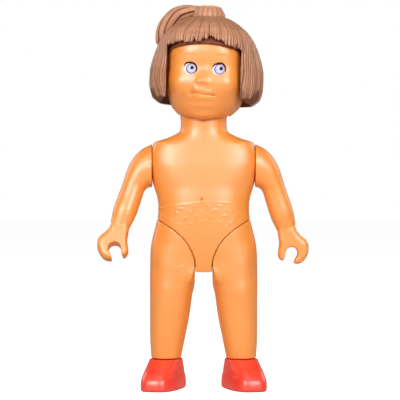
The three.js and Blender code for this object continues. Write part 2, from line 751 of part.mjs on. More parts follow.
function headLevels(extra = 0) {
  const grown = 2 * extra;
  const dome = domeShares.map(([rise, width, depth]) => level(
    browHeight + (crownHeight - browHeight) * rise,
    headWidth * width + grown, faceFront * depth + extra, headBack * depth + extra, headPower,
  ));
  return [
    level(chinHeight - extra, chinWidth + grown, chinFront + extra, chinBack + extra, roundPower),
    level((chinHeight + jawHeight) / 2, chinWidth + (jawWidth - chinWidth) * lowJawShare + grown,
      (chinFront + jawFront) / 2 + extra, (chinBack + jawBack) / 2 + extra, roundPower),
    level(jawHeight, jawWidth + grown, jawFront + extra, jawBack + extra, (headPower + roundPower) / 2),
    level(cheekHeight, headWidth + grown, faceFront + extra, headBack + extra, headPower),
    level(eyeHeight, headWidth + grown, faceFront + extra, headBack + extra, headPower),
    level(browHeight, headWidth + grown, faceFront + extra, headBack + extra, headPower),
    ...dome,
    level(crownHeight + extra, crownWidth + grown, crownFront + extra, crownBack + extra, roundPower),
  ];
}

function neckPlug(extra) {
  const flangeTop = neckTopHeight - neckWall - seamGap;
  const top = chinHeight + neckPlugReach;
  return turnedAlongZ([
    [flangeTop - neckFlangeThickness - extra, neckFlangeRadius + extra],
    [flangeTop + extra, neckFlangeRadius + extra],
    [flangeTop + extra, neckPlugRadius + extra],
    [top - neckFlangeThickness - extra, neckPlugRadius + extra],
    [top - neckFlangeThickness - extra, neckPlugHeadRadius + extra],
    [top + extra, neckPlugHeadRadius + extra],
  ]);
}

/** The head hides the neck's top in a round recess. */
function headWhole() {
  const recess = turnedAlongZ([
    [chinHeight - cutOverrun, neckWidth / 2 + neckPlay],
    [neckTopHeight + 2 * seamGap, neckWidth / 2 + neckPlay],
  ], limbSides);
  return loft(headLevels(), headSteps, headSides, reliefAt).subtract(recess).subtract(neckPlug(fitGap));
}

function headHalf(whole, sign) {
  const deep = 2 * headWidth;
  return whole.intersect(box(deep, deep, 2 * crownHeight, 0, sign * (deep / 2 + fitGap / 2), crownHeight));
}

// Hair
const bobShares = [ // share of its height, and shares of its width, front and back there
  [0, 0.83, 0.8, 0.86], [0.06, 0.95, 0.9, 0.95], [0.18, 1, 0.96, 1], [0.38, 1, 1, 1], [0.5, 0.955, 1, 0.99],
  [0.63, 0.885, 1, 0.95], [0.73, 0.81, 0.98, 0.88], [0.82, 0.7, 0.9, 0.78], [0.9, 0.55, 0.72, 0.62],
  [0.96, 0.4, 0.5, 0.42], [1, 0.2, 0.25, 0.22],
];

// How far up each cut between the fringe's tips runs, in turn, as shares of the deepest
const fringeNotchShares = [0.9, 0.1, 0.6, 0, 1, 0.2, 0.5, 0, 0.8, 0.3, 0.7, 0.1, 1];

/** The bob's levels. Extra lies over them all round. */
function hairLevels(extra) {
  return bobShares.map(([rise, width, front, back]) => {
    const height = bobHeight + (bobTop + extra - bobHeight) * rise;
    const [ahead, behind] = [bobFront * front + extra, bobBack * back + extra];
    return level(height, bobWidth * width + 2 * extra, ahead, behind, hairPower);
  });
}

/** The bob's outer surface, grooved from crown to hem. Relief swells its front. */
function bobForm(extra = 0, relief = () => 0) {
  const rings = smoothLevels(hairLevels(extra), hairSteps).map((l) => {
    return levelRing(l, hairSides, relief).map((p, side) => {
      const ridge = Math.abs(Math.sin((side / hairSides) * Math.PI * strandCount));
      const outwards = point(p.x, p.y, 0).normalize();
      return p.addScaledVector(outwards, strandDepth * (ridge - 1));
    });
  });
  return skinOver(rings);
}

/** How far the fringe stands out: most over the forehead, and nothing at the temples and the crown. */
function fringeRelief(x, height) {
  const across = Math.max(0, 1 - (x / fringeReach) ** fringeFade);
  const up = 1 - ((height - bobHeight) / (bobTop - bobHeight)) ** fringeFade;
  return fringeStep * across * up;
}

/** The fringe's cut edge between two distances across the face, as points from left to right. */
function fringeEdge(reach) {
  const half = Math.round((2 * reach) / fringeTipWidth);
  return Array.from({ length: 2 * half + 1 }, (_, i) => {
    const place = i - half;
    const x = (place * fringeTipWidth) / 2;
    const turn = 2 * Math.abs(place) - (place < 0 ? 1 : 0);
    const notch = fringeNotchShares[turn % fringeNotchShares.length];
    const sag = fringeDrop * (x / (windowWidth / 2)) ** 2;
    return new THREE.Vector2(x, fringeHeight - sag + notch * fringeTipDepth);
  });
}

/** A flat outline in the front view, carried forward from a distance in front of the head's axis. */
function frontPrism(outline, from) {
  const shape = { depth: 2 * bobFront, bevelEnabled: false };
  const geometry = new THREE.ExtrudeGeometry(new THREE.Shape(outline), shape);
  return solid(geometry.rotateX(Math.PI / 2).translate(0, -from, 0));
}

/** The opening for the face, under the cut edge of the fringe. */
function faceWindow() {
  const edge = fringeEdge(windowWidth / 2);
  const low = bobHeight - cutOverrun;
  const [first, last] = [edge[0], edge[edge.length - 1]];
  const outline = [new THREE.Vector2(first.x, low), ...edge, new THREE.Vector2(last.x, low)];
  return frontPrism(outline, sideHairFront);
}

/** The fringe: a layer over the bob that stands proud of the side hair. */
function fringe() {
  const edge = fringeEdge(fringeReach);
  const high = bobTop + cutOverrun;
  const [first, last] = [edge[0], edge[edge.length - 1]];
  const outline = [new THREE.Vector2(first.x, high), ...edge, new THREE.Vector2(last.x, high)];
  return bobForm(0, fringeRelief).intersect(frontPrism(outline, sideHairFront / 2)).subtract(tieSeat(0));
}

/** The hollow of the bob: the head with its clearance, and the space round the nape. */
function hairHollow() {
  const head = loft(headLevels(fitGap), headSteps, headSides);
  const inner = bobWidth - 2 * hairWall;
  const nape = loft([
    level(bobHeight - cutOverrun, inner, bobFront, bobBack - hairWall, hairPower),
    level((bobHeight + cheekHeight) / 2, inner, bobFront, bobBack - hairWall, hairPower),
    level(cheekHeight, headWidth, jawFront, (bobBack + headBack) / 2 - hairWall / 2, hairPower),
    level(eyeHeight, headWidth / 2, faceFront / 2, headBack / 2, hairPower),
  ], hollowSteps, limbSides);
  return head.add(nape);
}

/** The round seat in the bob's crown that the tie stands in, or the tie's own plain foot. */
function tieSeat(extra) {
  return turnedAlongZ([
    [bobTop - tieSink - extra, tieBaseRadius + extra], [bobTop + tieHeight, tieBaseRadius + extra],
  ], 2 * tieRibCount);
}

function hairCap() {
  const seat = tieSeat(fitGap);
  return bobForm().add(fringe()).subtract(faceWindow()).subtract(hairHollow()).subtract(seat);
}

const tieShares = [[0, 1], [0.3, 1], [0.6, 0.7], [1, 0]]; // rise, and how much of the base's width is left

/** The ribbed tie that the hair is drawn through on the crown, with a round seat for its pale rim. */
function hairTie() {
  const sides = tieRibCount * 3;
  const rings = tieShares.map(([rise, left]) => Array.from({ length: sides }, (_, side) => {
    const turn = (side / sides) * 2 * Math.PI;
    const radius = tieTopRadius + (tieBaseRadius - tieTopRadius) * left;
    const ribbed = radius - tieRibDepth * (1 - Math.cos(turn * tieRibCount)) / 2;
    const height = bobTop - tieSink + (tieSink + tieHeight) * rise;
    return point(Math.cos(turn) * ribbed, Math.sin(turn) * ribbed, height);
  }));
  return skinOver(rings).subtract(crownRim(fitGap)).subtract(sideTail(fitGap));
}

/** The pale rim set in the tie's top. Extra widens it into its seat. */
function crownRim(extra) {
  const top = bobTop + tieHeight + rimRise;
  const profile = [[top - rimHeight - extra, rimRadius + extra], [top + extra, rimRadius + extra]];
  return turnedAlongZ(profile, 2 * pinSides);
}

/** The tail's middle line: out of the tie, over the bob's shoulder and down behind the fringe's end. */
function tailLine() {
  const outShares = [0.12, 0.3, 0.48, 0.66, 0.81, 0.92, 0.98, 1];
  const downShares = [0, 0, 0.02, 0.08, 0.24, 0.43, 0.64, 1];
  const places = outShares.map((share, i) => point(
    -tailReach * share,
    tailSetback * share,
    bobTop + tailRise - (tailRise + tailDrop) * downShares[i],
  ));
  return new THREE.CatmullRomCurve3(places, false, "centripetal");
}

/** The side tail: locks that swell out of the tie and turn round each other to the tip. */
function sideTail(extra = 0) {
  const line = tailLine();
  const widthShares = [0, 0.34, 0.8, 1, 1, 0.94, 0.78, 0.5]; // from the start's width to the full width
  const rings = Array.from({ length: tailSteps + 1 }, (_, step) => {
    const t = step / tailSteps;
    const along = line.getTangentAt(t);
    const across = point(0, 1, 0);
    const up = along.clone().cross(across).normalize();
    const at = t * (widthShares.length - 1);
    const [low, high] = [widthShares[Math.floor(at)], widthShares[Math.ceil(at)]];
    const width = tailStartWidth + (tailWidth - tailStartWidth) * (low + (high - low) * (at % 1));
    return Array.from({ length: tailSides }, (_, side) => {
      const turn = (side / tailSides) * 2 * Math.PI;
      const lobe = tailLobeDepth * (Math.cos(tailLocks * (turn + degrees(tailTwist) * t)) - 1) / 2;
      const radius = width / 2 + lobe + extra;
      const p = line.getPointAt(t).addScaledVector(across, Math.cos(turn) * radius);
      return p.addScaledVector(up, Math.sin(turn) * radius);
    });
  });
  return skinOver(rings);
}

function seatedTail() {
  const hair = bobForm(fitGap).add(fringe()).add(tieSeat(0)).add(crownRim(fitGap));
  return sideTail().subtract(hair);
}

/** Leans and turns a piece of the head about the plug's flange. */
function headPlace(body) {
  const flange = neckTopHeight - neckWall;
  const turned = body.translate([0, 0, -flange]).rotate([0, 0, headTurn]).rotate([0, headLean, 0]);
  return turned.translate([headShift, 0, flange]);
}

/** Swings the right arm forward about the shoulder. */
function rightArmPlace(body) {
  const swung = mirrorX(body).translate([0, 0, -shoulderHeight]).rotate([-rightArmSwing, 0, 0]);
  return swung.translate([0, 0, shoulderHeight]);
}

function piece(name, body, finish) {
  const mesh = new THREE.Mesh(geometryOf(body), finish);
  mesh.name = name;
  return mesh;
}

const doll = new THREE.Group();
doll.name = "doll";

const wholeTrunk = trunk();
doll.add(piece("torso_front", torsoHalf(wholeTrunk, -1), skin));
doll.add(piece("torso_back", torsoHalf(wholeTrunk, 1), skin));
doll.add(piece("hip_axle", hipAxle(), pinWhite));

const sides = [
  { name: "left", place: (body) => body, armPlace: (body) => body },
  { name: "right", place: mirrorX, armPlace: rightArmPlace },
];
for (const { name, place, armPlace } of sides) {
  doll.add(piece(`leg_${name}`, place(leftLeg()), skin));
  doll.add(piece(`shoe_${name}`, place(leftShoe()), shoeRed));
  doll.add(piece(`sole_${name}`, place(leftSole()), shoeRed));
  doll.add(piece(`arm_${name}`, armPlace(leftArm()), skin));
  doll.add(piece(`shoulder_pin_${name}`, armPlace(shoulderPin(0)), pinWhite));
}

const wholeHead = headWhole();
doll.add(piece("head_front", headPlace(headHalf(wholeHead, -1)), skin));
doll.add(piece("head_back", headPlace(headHalf(wholeHead, 1)), skin));
doll.add(piece("neck_plug", headPlace(neckPlug(0)), pinWhite));
doll.add(piece("hair_cap", headPlace(hairCap()), hairBrown));
doll.add(piece("hair_tie", headPlace(hairTie()), hairBrown));
doll.add(piece("crown_rim", headPlace(crownRim(0)), rimCream));
doll.add(piece("side_tail", headPlace(seatedTail()), hairBrown));

// The origin: on the ground, under the middle of the whole doll
const extents = new THREE.Box3().setFromObject(doll);
const middle = extents.getCenter(point(0, 0, 0));
doll.position.set(-middle.x, -middle.y, -extents.min.z);
doll.updateMatrixWorld(true);

export default doll;
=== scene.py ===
"""Dresses the building block figure: a moulded child doll with bob hair, side tail and grip hands."""

import json
import logging
import math
from collections.abc import Sequence
from dataclasses import dataclass
from enum import Enum

import bpy
import bmesh
import numpy as np
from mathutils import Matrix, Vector
from mathutils.bvhtree import BVHTree
from mathutils.kdtree import KDTree


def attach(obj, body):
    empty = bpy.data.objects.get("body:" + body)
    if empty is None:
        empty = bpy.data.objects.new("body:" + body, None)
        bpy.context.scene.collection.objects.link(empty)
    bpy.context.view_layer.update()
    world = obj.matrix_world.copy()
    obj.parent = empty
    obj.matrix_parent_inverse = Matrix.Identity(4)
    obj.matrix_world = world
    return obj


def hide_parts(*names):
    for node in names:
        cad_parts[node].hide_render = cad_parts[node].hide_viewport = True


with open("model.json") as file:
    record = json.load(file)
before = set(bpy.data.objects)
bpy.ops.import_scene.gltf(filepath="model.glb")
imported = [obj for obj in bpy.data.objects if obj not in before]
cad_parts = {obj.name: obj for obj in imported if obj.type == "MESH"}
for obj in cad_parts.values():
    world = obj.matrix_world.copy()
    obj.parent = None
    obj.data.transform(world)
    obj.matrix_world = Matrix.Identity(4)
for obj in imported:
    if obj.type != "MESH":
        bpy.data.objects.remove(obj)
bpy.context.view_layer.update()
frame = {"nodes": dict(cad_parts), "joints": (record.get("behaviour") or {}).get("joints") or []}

log = logging.getLogger("doll")

MM = 0.001
DOLL_SHIFT = frame["joints"][0]["pos_m"][1] / MM  # where the limbs' axes lie in depth, in mm
COARSE = 1

Colour = tuple[float, float, float]
Pair = tuple[float, float]
Array = np.ndarray
Material = bpy.types.Material
Socket = bpy.types.NodeSocket
PRINT_RELIEF = (0.1, 0.01)  # share shown and depth in mm of the mottle in printed paint


class Side(Enum):
    """The figure's own left and right, by the sign of X."""

    LEFT = 1
    RIGHT = -1

    @property
    def label(self) -> str:
        """The side's name inside a node's name."""
        return self.name.lower()


class Body(Enum):
    """The moving bodies of the figure."""

    TORSO = "torso"
    HEAD = "head"
    ARM_LEFT = "arm_left"
    ARM_RIGHT = "arm_right"
    LEG_LEFT = "leg_left"
    LEG_RIGHT = "leg_right"


def linear(red: float, green: float, blue: float) -> Colour:
    """Turns a screen colour of 0 to 255 into a linear one.

    Args:
        red: Red as the screen shows it.
        green: Green as the screen shows it.
        blue: Blue as the screen shows it.

    Returns:
        The linear colour that a shader takes.
    """
    def channel(value: float) -> float:
        """One channel's linear value."""
        share = value / 255
        return share / 12.92 if share <= 0.04045 else ((share + 0.055) / 1.055) ** 2.4

    return channel(red), channel(green), channel(blue)


def smoothstep(low: float, high: float, value: Array | float) -> Array:
    """A soft step from 0 to 1 between two values.

    Args:
        low: Where the step starts.
        high: Where the step ends.
        value: The values to step.

    Returns:
        The stepped values.
    """
    share = np.clip((np.asarray(value, float) - low) / (high - low), 0, 1)
    return share * share * (3 - 2 * share)


def bump(across: Array, up: Array, wide: float, tall: float) -> Array:
    """A round swell of height 1.

    Args:
        across: Distance sideways from the swell's middle.
        up: Distance upwards from the swell's middle.
        wide: Half width.
        tall: Half height.

    Returns:
        The swell's height at each place.
    """
    return np.exp(-((across / wide) ** 2) - (up / tall) ** 2)


# Finishes


class Nodes:
    """A short hand for building a node tree."""

    def __init__(self, name: str) -> None:
        """Starts a material with an empty tree.

        Args:
            name: The material's name.
        """
        self.material = bpy.data.materials.new(name)
        self.material.use_nodes = True
        self.tree = self.material.node_tree
        self.tree.nodes.clear()
        self.output = self.add("ShaderNodeOutputMaterial")
        self.shader = self.add("ShaderNodeBsdfPrincipled")
        self.link(self.shader.outputs["BSDF"], self.output.inputs["Surface"])

    def add(self, kind: str, **settings: object) -> bpy.types.Node:
        """Adds a node.

        Args:
            kind: The node's type.
            **settings: Its properties.

        Returns:
            The new node.
        """
        node = self.tree.nodes.new(kind)
        for key, value in settings.items():
            setattr(node, key, value)
        return node

    def link(self, source: Socket, target: Socket) -> None:
        """Joins an output to an input."""
        self.tree.links.new(source, target)

    def place(self, stretch: Colour = (1, 1, 1)) -> Socket:
        """The surface's own place, stretched.

        Args:
            stretch: How much finer the pattern gets along each axis.

        Returns:
            The coordinate socket.
        """
        source = self.add("ShaderNodeTexCoord")
        mapping = self.add("ShaderNodeMapping")
        mapping.inputs["Scale"].default_value = stretch
        self.link(source.outputs["Object"], mapping.inputs["Vector"])
        return mapping.outputs["Vector"]

    def noise(self, scale: float, detail: float, where: Socket | None = None) -> Socket:
        """A cloud of noise over the surface.

        Args:
            scale: Cells in a metre.
            detail: Octaves.
            where: The coordinates to use.

        Returns:
            The noise's value.
        """
        node = self.add("ShaderNodeTexNoise")
        node.inputs["Scale"].default_value = scale
        node.inputs["Detail"].default_value = detail
        self.link(where or self.place(), node.inputs["Vector"])
        return node.outputs["Fac"]

    def spread(
        self, value: Socket, low: float, high: float, start: float = 0.35, end: float = 0.65,
    ) -> Socket:
        """Maps a value from one range to another.

        Args:
            value: The value's socket.
            low: The result at the start.
            high: The result at the end.
            start: The value that gives the lowest result.
            end: The value that gives the highest.

        Returns:
            The mapped value.
        """
        node = self.add("ShaderNodeMapRange")
        for key, number in (("From Min", start), ("From Max", end), ("To Min", low), ("To Max", high)):
            node.inputs[key].default_value = number
        self.link(value, node.inputs["Value"])
        return node.outputs["Result"]

    def mixed(self, share: Socket, first: object, second: object) -> Socket:
        """Mixes two colours.

        Args:
            share: How much of the second.
            first: A colour or a colour socket.
            second: A colour or a colour socket.

        Returns:
            The mixed colour.
        """
        node = self.add("ShaderNodeMix", data_type="RGBA")
        self.link(share, node.inputs[0])
        for slot, value in ((6, first), (7, second)):
            if isinstance(value, Socket):
                self.link(value, node.inputs[slot])
            else:
                node.inputs[slot].default_value = (*value, 1)
        return node.outputs[2]

    def clouded(self, cloud: Socket, first: Colour, second: Colour) -> Socket:
        """Two shades mixed by a cloud of noise."""
        return self.mixed(self.spread(cloud, 0, 1), first, second)

    def feed(self, name: str, value: Socket) -> None:
        """Joins a value to one of the shader's own sockets."""
        self.link(value, self.shader.inputs[name])

    def paint_shade(self, base: Socket, groove: Colour) -> None:
        """Colours the surface, with painted shade in the groove colour where the attribute asks for it."""
        self.feed("Base Color", self.mixed(self.attribute("groove"), base, groove))

    def attribute(self, name: str) -> Socket:
        """The value of a point attribute."""
        return self.add("ShaderNodeAttribute", attribute_name=name).outputs["Fac"]

    def relief(self, height: Socket, strength: float, depth: float) -> None:
        """Roughens the surface by a height.

        Args:
            height: The height's socket.
            strength: How much of it shows.
            depth: The height of a full step, in mm.
        """
        node = self.add("ShaderNodeBump")
        node.inputs["Strength"].default_value = strength
        node.inputs["Distance"].default_value = depth * MM
        self.link(height, node.inputs["Height"])
        self.link(node.outputs["Normal"], self.shader.inputs["Normal"])

    def set(self, **values: float) -> None:
        """Sets sockets of the shader; an underscore stands for a space."""
        for key, value in values.items():
            self.shader.inputs[key.replace("_", " ")].default_value = value


@dataclass(frozen=True)
class SkinFinish:
    """Satin skin-coloured plastic with a faint mould texture, and painted shade where the groove attribute
    asks.
    """

    name: str = "skin_plastic"
    colour: Colour = linear(252, 155, 58)
    warm: Colour = linear(251, 148, 50)
    # the colour of the painted shade in the gaps at the joints, the navel, the mouth line and beside the
    # hair
    groove: Colour = linear(104, 36, 8)
    roughness: Pair = (0.38, 0.44)
    cloud_scale: float = 45
    sheen_scale: float = 180
    grain_scale: float = 2600
    grain_share: float = 0.25
    grain_depth: float = 0.02
    spread: Colour = (1, 0.45, 0.2)  # how far red, green and blue light runs inside

    def build(self) -> Material:
        """Makes the material."""
        nodes = Nodes(self.name)
        base = nodes.clouded(nodes.noise(self.cloud_scale, 3), self.colour, self.warm)
        nodes.paint_shade(base, self.groove)
        nodes.feed("Roughness", nodes.spread(nodes.noise(self.sheen_scale, 4), *self.roughness))
        nodes.relief(nodes.noise(self.grain_scale, 2), self.grain_share, self.grain_depth)
        nodes.set(Subsurface_Weight=0.12, Subsurface_Scale=0.002, Specular_IOR_Level=1, IOR=1.62)
        nodes.shader.inputs["Subsurface Radius"].default_value = self.spread
        return nodes.material


@dataclass(frozen=True)
class HairFinish:
    """Brown moulded hair: low gloss, with painted shade in the grooves and paler patches at random."""

    name: str = "hair_plastic"
    colour: Colour = linear(198, 136, 98)
    # a paler brown, mixed in at random by a cloud of noise
    ridge: Colour = linear(212, 154, 116)
    # painted shade in the grooves, inside the bob and in the tie's ribs; also mixed into random streaks
    groove: Colour = linear(98, 40, 14)
    roughness: Pair = (0.42, 0.56)
    cloud_scale: float = 70
    strand_scale: float = 900
    strand_stretch: Colour = (1, 1, 0.12)
    strand_tint: float = 0.16
    strand_share: float = 0.35
    strand_depth: float = 0.06

    def build(self) -> Material:
        """Makes the material."""
        nodes = Nodes(self.name)
        base = nodes.clouded(nodes.noise(self.cloud_scale, 4), self.colour, self.ridge)
        fine = nodes.noise(self.strand_scale, 3, nodes.place(self.strand_stretch))
        base = nodes.mixed(nodes.spread(fine, 0, self.strand_tint), base, self.groove)
        nodes.paint_shade(base, self.groove)
        nodes.feed("Roughness", nodes.spread(fine, *self.roughness))
        nodes.relief(fine, self.strand_share, self.strand_depth)
        nodes.set(Coat_Weight=0.05, Coat_Roughness=0.35)
        return nodes.material


@dataclass(frozen=True)
class ShoeFinish:
    """Glossy red plastic, with painted shade at the gap round the leg."""

    name: str = "shoe_plastic"
    colour: Colour = linear(255, 70, 40)
    deep: Colour = linear(252, 60, 34)
    # the colour of the painted shade at the gap round the leg
    groove: Colour = linear(110, 8, 4)
    roughness: Pair = (0.33, 0.39)
    cloud_scale: float = 60
    sheen_scale: float = 250
    grain_scale: float = 2200
    grain_share: float = 0.2
    grain_depth: float = 0.02

    def build(self) -> Material:
        """Makes the material."""
        nodes = Nodes(self.name)
        base = nodes.clouded(nodes.noise(self.cloud_scale, 3), self.colour, self.deep)
        nodes.paint_shade(base, self.groove)
        nodes.feed("Roughness", nodes.spread(nodes.noise(self.sheen_scale, 4), *self.roughness))
        nodes.relief(nodes.noise(self.grain_scale, 2), self.grain_share, self.grain_depth)
        nodes.set(Specular_IOR_Level=0.9, IOR=1.6)
        return nodes.material


@dataclass(frozen=True)
class PlainFinish:
    """Plain moulded plastic in two close shades, for the pins and the rim."""

    name: str
    colour: Colour
    shade: Colour
    roughness: Pair = (0.45, 0.6)
    cloud_scale: float = 160
    grain_scale: float = 1600
    grain_share: float = 0.25
    grain_depth: float = 0.03

    def build(self) -> Material:
        """Makes the material."""
        nodes = Nodes(self.name)
        cloud = nodes.noise(self.cloud_scale, 4)
        nodes.feed("Base Color", nodes.clouded(cloud, self.colour, self.shade))
        nodes.feed("Roughness", nodes.spread(cloud, *self.roughness))
        nodes.relief(nodes.noise(self.grain_scale, 2), self.grain_share, self.grain_depth)
        return nodes.material


@dataclass(frozen=True)
class PaintFinish:
    """A printed paint film with a little ink mottle."""

    name: str
    colour: Colour
    mottle: Colour
    roughness: float = 0.5
    mottle_scale: float = 1800

    def build(self) -> Material:
        """Makes the material."""
        nodes = Nodes(self.name)
        cloud = nodes.noise(self.mottle_scale, 3)
        nodes.feed("Base Color", nodes.clouded(cloud, self.colour, self.mottle))
        nodes.set(Roughness=self.roughness, Specular_IOR_Level=0.2)
        nodes.relief(cloud, *PRINT_RELIEF)
        return nodes.material


@dataclass(frozen=True)
class IrisFinish:
    """The printed iris: pale lilac with fine rays and a violet ring towards its edge."""

    name: str = "iris_paint"
    colour: Colour = linear(214, 208, 220)
    ray: Colour = linear(190, 184, 206)
    ring: Colour = linear(176, 170, 204)
    ray_scale: float = 2600
    ring_start: float = 0.6  # share of the way to the edge

    def build(self) -> Material:
        """Makes the material."""
        nodes = Nodes(self.name)
        rays = nodes.noise(self.ray_scale, 3)
        base = nodes.clouded(rays, self.colour, self.ray)
        ring = nodes.spread(nodes.attribute("reach"), 0, 1, self.ring_start, 1)
        nodes.feed("Base Color", nodes.mixed(ring, base, self.ring))
        nodes.set(Roughness=0.4, Specular_IOR_Level=0.3)
        nodes.relief(rays, *PRINT_RELIEF)
        return nodes.material


@dataclass(frozen=True)
class StageFinish:
    """The pale floor: it takes the figure's shadow and looks white to the camera."""

    name: str = "pale_floor"
    colour: Colour = (0.6, 0.6, 0.6)
    mottle: float = 0.99
    cloud_scale: float = 3
    glow: float = 0.94

    def build(self) -> Material:
        """Makes the material."""
        nodes = Nodes(self.name)
        second = tuple(channel * self.mottle for channel in self.colour)
        cloud = nodes.noise(self.cloud_scale, 2)
        nodes.feed("Base Color", nodes.clouded(cloud, self.colour, second))
        nodes.set(Roughness=0.9)
        seen = nodes.add("ShaderNodeLightPath").outputs["Is Camera Ray"]
        nodes.shader.inputs["Emission Color"].default_value = (1, 1, 1, 1)
        nodes.feed("Emission Strength", nodes.spread(seen, 0, self.glow, 0, 1))
        return nodes.material


# Forms


@dataclass
class Form:
    """A closed mesh in millimetres, as arrays."""

    points: Array
    faces: list[Sequence[int]] | Array
    # each point's share of painted shade, in the finish's groove colour
    groove: Array | None = None

    def mesh(self, name: str, attributes: dict[str, Array] | None = None) -> bpy.types.Object:
        """Makes an object of the form.

        Args:
            name: The piece's name.
            attributes: Values for each point, by name.

        Returns:
            The new object, shaded smooth.
        """
        data = bpy.data.meshes.new(name)
        data.from_pydata((self.points * MM).tolist(), [], [list(map(int, face)) for face in self.faces])
        data.update()
        work = bmesh.new()
        work.from_mesh(data)
        bmesh.ops.recalc_face_normals(work, faces=work.faces)
        work.to_mesh(data)
        work.free()
        data.shade_smooth()
        values = dict(attributes or {})
        values.setdefault("groove", np.zeros(len(self.points)) if self.groove is None else self.groove)
        for key, numbers in values.items():
            layer = data.attributes.new(key, "FLOAT", "POINT")
            layer.data.foreach_set("value", np.asarray(numbers, np.float32))
        item = bpy.data.objects.new(name, data)
        bpy.context.scene.collection.objects.link(item)
        return item


def dress(item: bpy.types.Object, body: Body, slot: str, *materials: Material) -> bpy.types.Object:
    """Gives a piece its finish and the body it rides on.

    Args:
        item: The piece.
        body: The body it moves with.
        slot: The record's material slot; not used.
        *materials: Its finishes, in slot order.

    Returns:
        The same piece.
    """
    item.data.materials.clear()
    for material in materials:
        item.data.materials.append(material)
    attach(item, body.value)
    counts = len(item.data.vertices), len(item.data.polygons)
    log.info("%s: %d points, %d faces, on %s", item.name, *counts, body.value)
    return item


def grid_faces(rows: int, columns: int, closed: bool = True) -> list[tuple[int, ...]]:
    """Faces of a grid of rows, each of as many columns.

    Args:
        rows: Number of rows.
        columns: Points in a row.
        closed: Whether each row is a ring.

    Returns:
        The quads.
    """
    quads = []
    for row in range(rows - 1):
        for column in range(columns if closed else columns - 1):
            after = (column + 1) % columns
            a, b = row * columns + column, row * columns + after
            quads.append((a, b, b + columns, a + columns))
    return quads


def ringed(rings: Array) -> Form:
    """Closes a stack of rings with a fan at each end.

    Args:
        rings: Points as rings by columns by 3.

    Returns:
        The closed form.
    """
    rows, columns = rings.shape[:2]
    flat = rings.reshape(-1, 3)
    ends = np.array([rings[0].mean(0), rings[-1].mean(0)])
    faces = grid_faces(rows, columns)
    first, last, top = rows * columns, rows * columns + 1, (rows - 1) * columns
    for column in range(columns):
        after = (column + 1) % columns
        faces.append((first, after, column))
        faces.append((last, top + column, top + after))
    return Form(np.vstack([flat, ends]), faces)


def spline(knots: Array, count: int) -> Array:
    """A smooth line through knots, evenly spaced by knot.

    Args:
        knots: The knots, one in a row.
        count: Number of points.

    Returns:
        The points.
    """
    knots = np.asarray(knots, float)
    padded = np.vstack([2 * knots[0] - knots[1], knots, 2 * knots[-1] - knots[-2]])
    places = np.linspace(0, len(knots) - 1, count)
    low = np.minimum(places.astype(int), len(knots) - 2)
    t = (places - low)[:, None]
    a, b, c, d = (padded[low + i] for i in range(4))
    bend = 2 * a - 5 * b + 4 * c - d
    twist = 3 * b - a - 3 * c + d
    return 0.5 * (2 * b + (c - a) * t + bend * t**2 + twist * t**3)


def lengths(line: Array) -> Array:
    """The distance along a line up to each of its points."""
    return np.concatenate([[0], np.cumsum(np.linalg.norm(np.diff(line, axis=0), axis=1))])


def full_turn(columns: int) -> Array:
    """Directions evenly spaced all the way round, in radians."""
    return np.arange(columns) * 2 * np.pi / columns


def circle(turn: Array, radius: Array | float, height: Array | float) -> Array:
    """Points about the Z axis.

    Args:
        turn: Their directions.
        radius: Their distance from the axis.
        height: Their height.

    Returns:
        The points.
    """
    places = np.cos(turn) * radius, np.sin(turn) * radius, height
    return np.stack(np.broadcast_arrays(*places), -1)


def lathe(profile: Sequence[Pair], columns: int) -> Form:
    """Turns a profile about Z.

    Args:
        profile: Pairs of height and radius, from the bottom up.
        columns: Points round the axis.

    Returns:
        The closed form.
    """
    turn = full_turn(columns)
    return ringed(np.array([circle(turn, radius, height) for height, radius in profile]))


def tree_of(points: Sequence) -> KDTree:
    """A search tree of points.

    Args:
        points: The points.

    Returns:
        The tree, which knows each point by its number.
    """
    tree = KDTree(len(points))
    for i, point in enumerate(points):
        tree.insert(point, i)
    tree.balance()
    return tree


def solid_of(node: str) -> tuple[Array, BVHTree]:
    """A node of the frame as a thing to measure against.

    Args:
        node: The node's name in the frame.

    Returns:
        Its corners in mm, and a search tree of its faces.
    """
    data = frame["nodes"][node].data
    corners = np.array([v.co / MM for v in data.vertices])
    return corners, BVHTree.FromPolygons(corners.tolist(), [tuple(p.vertices) for p in data.polygons])


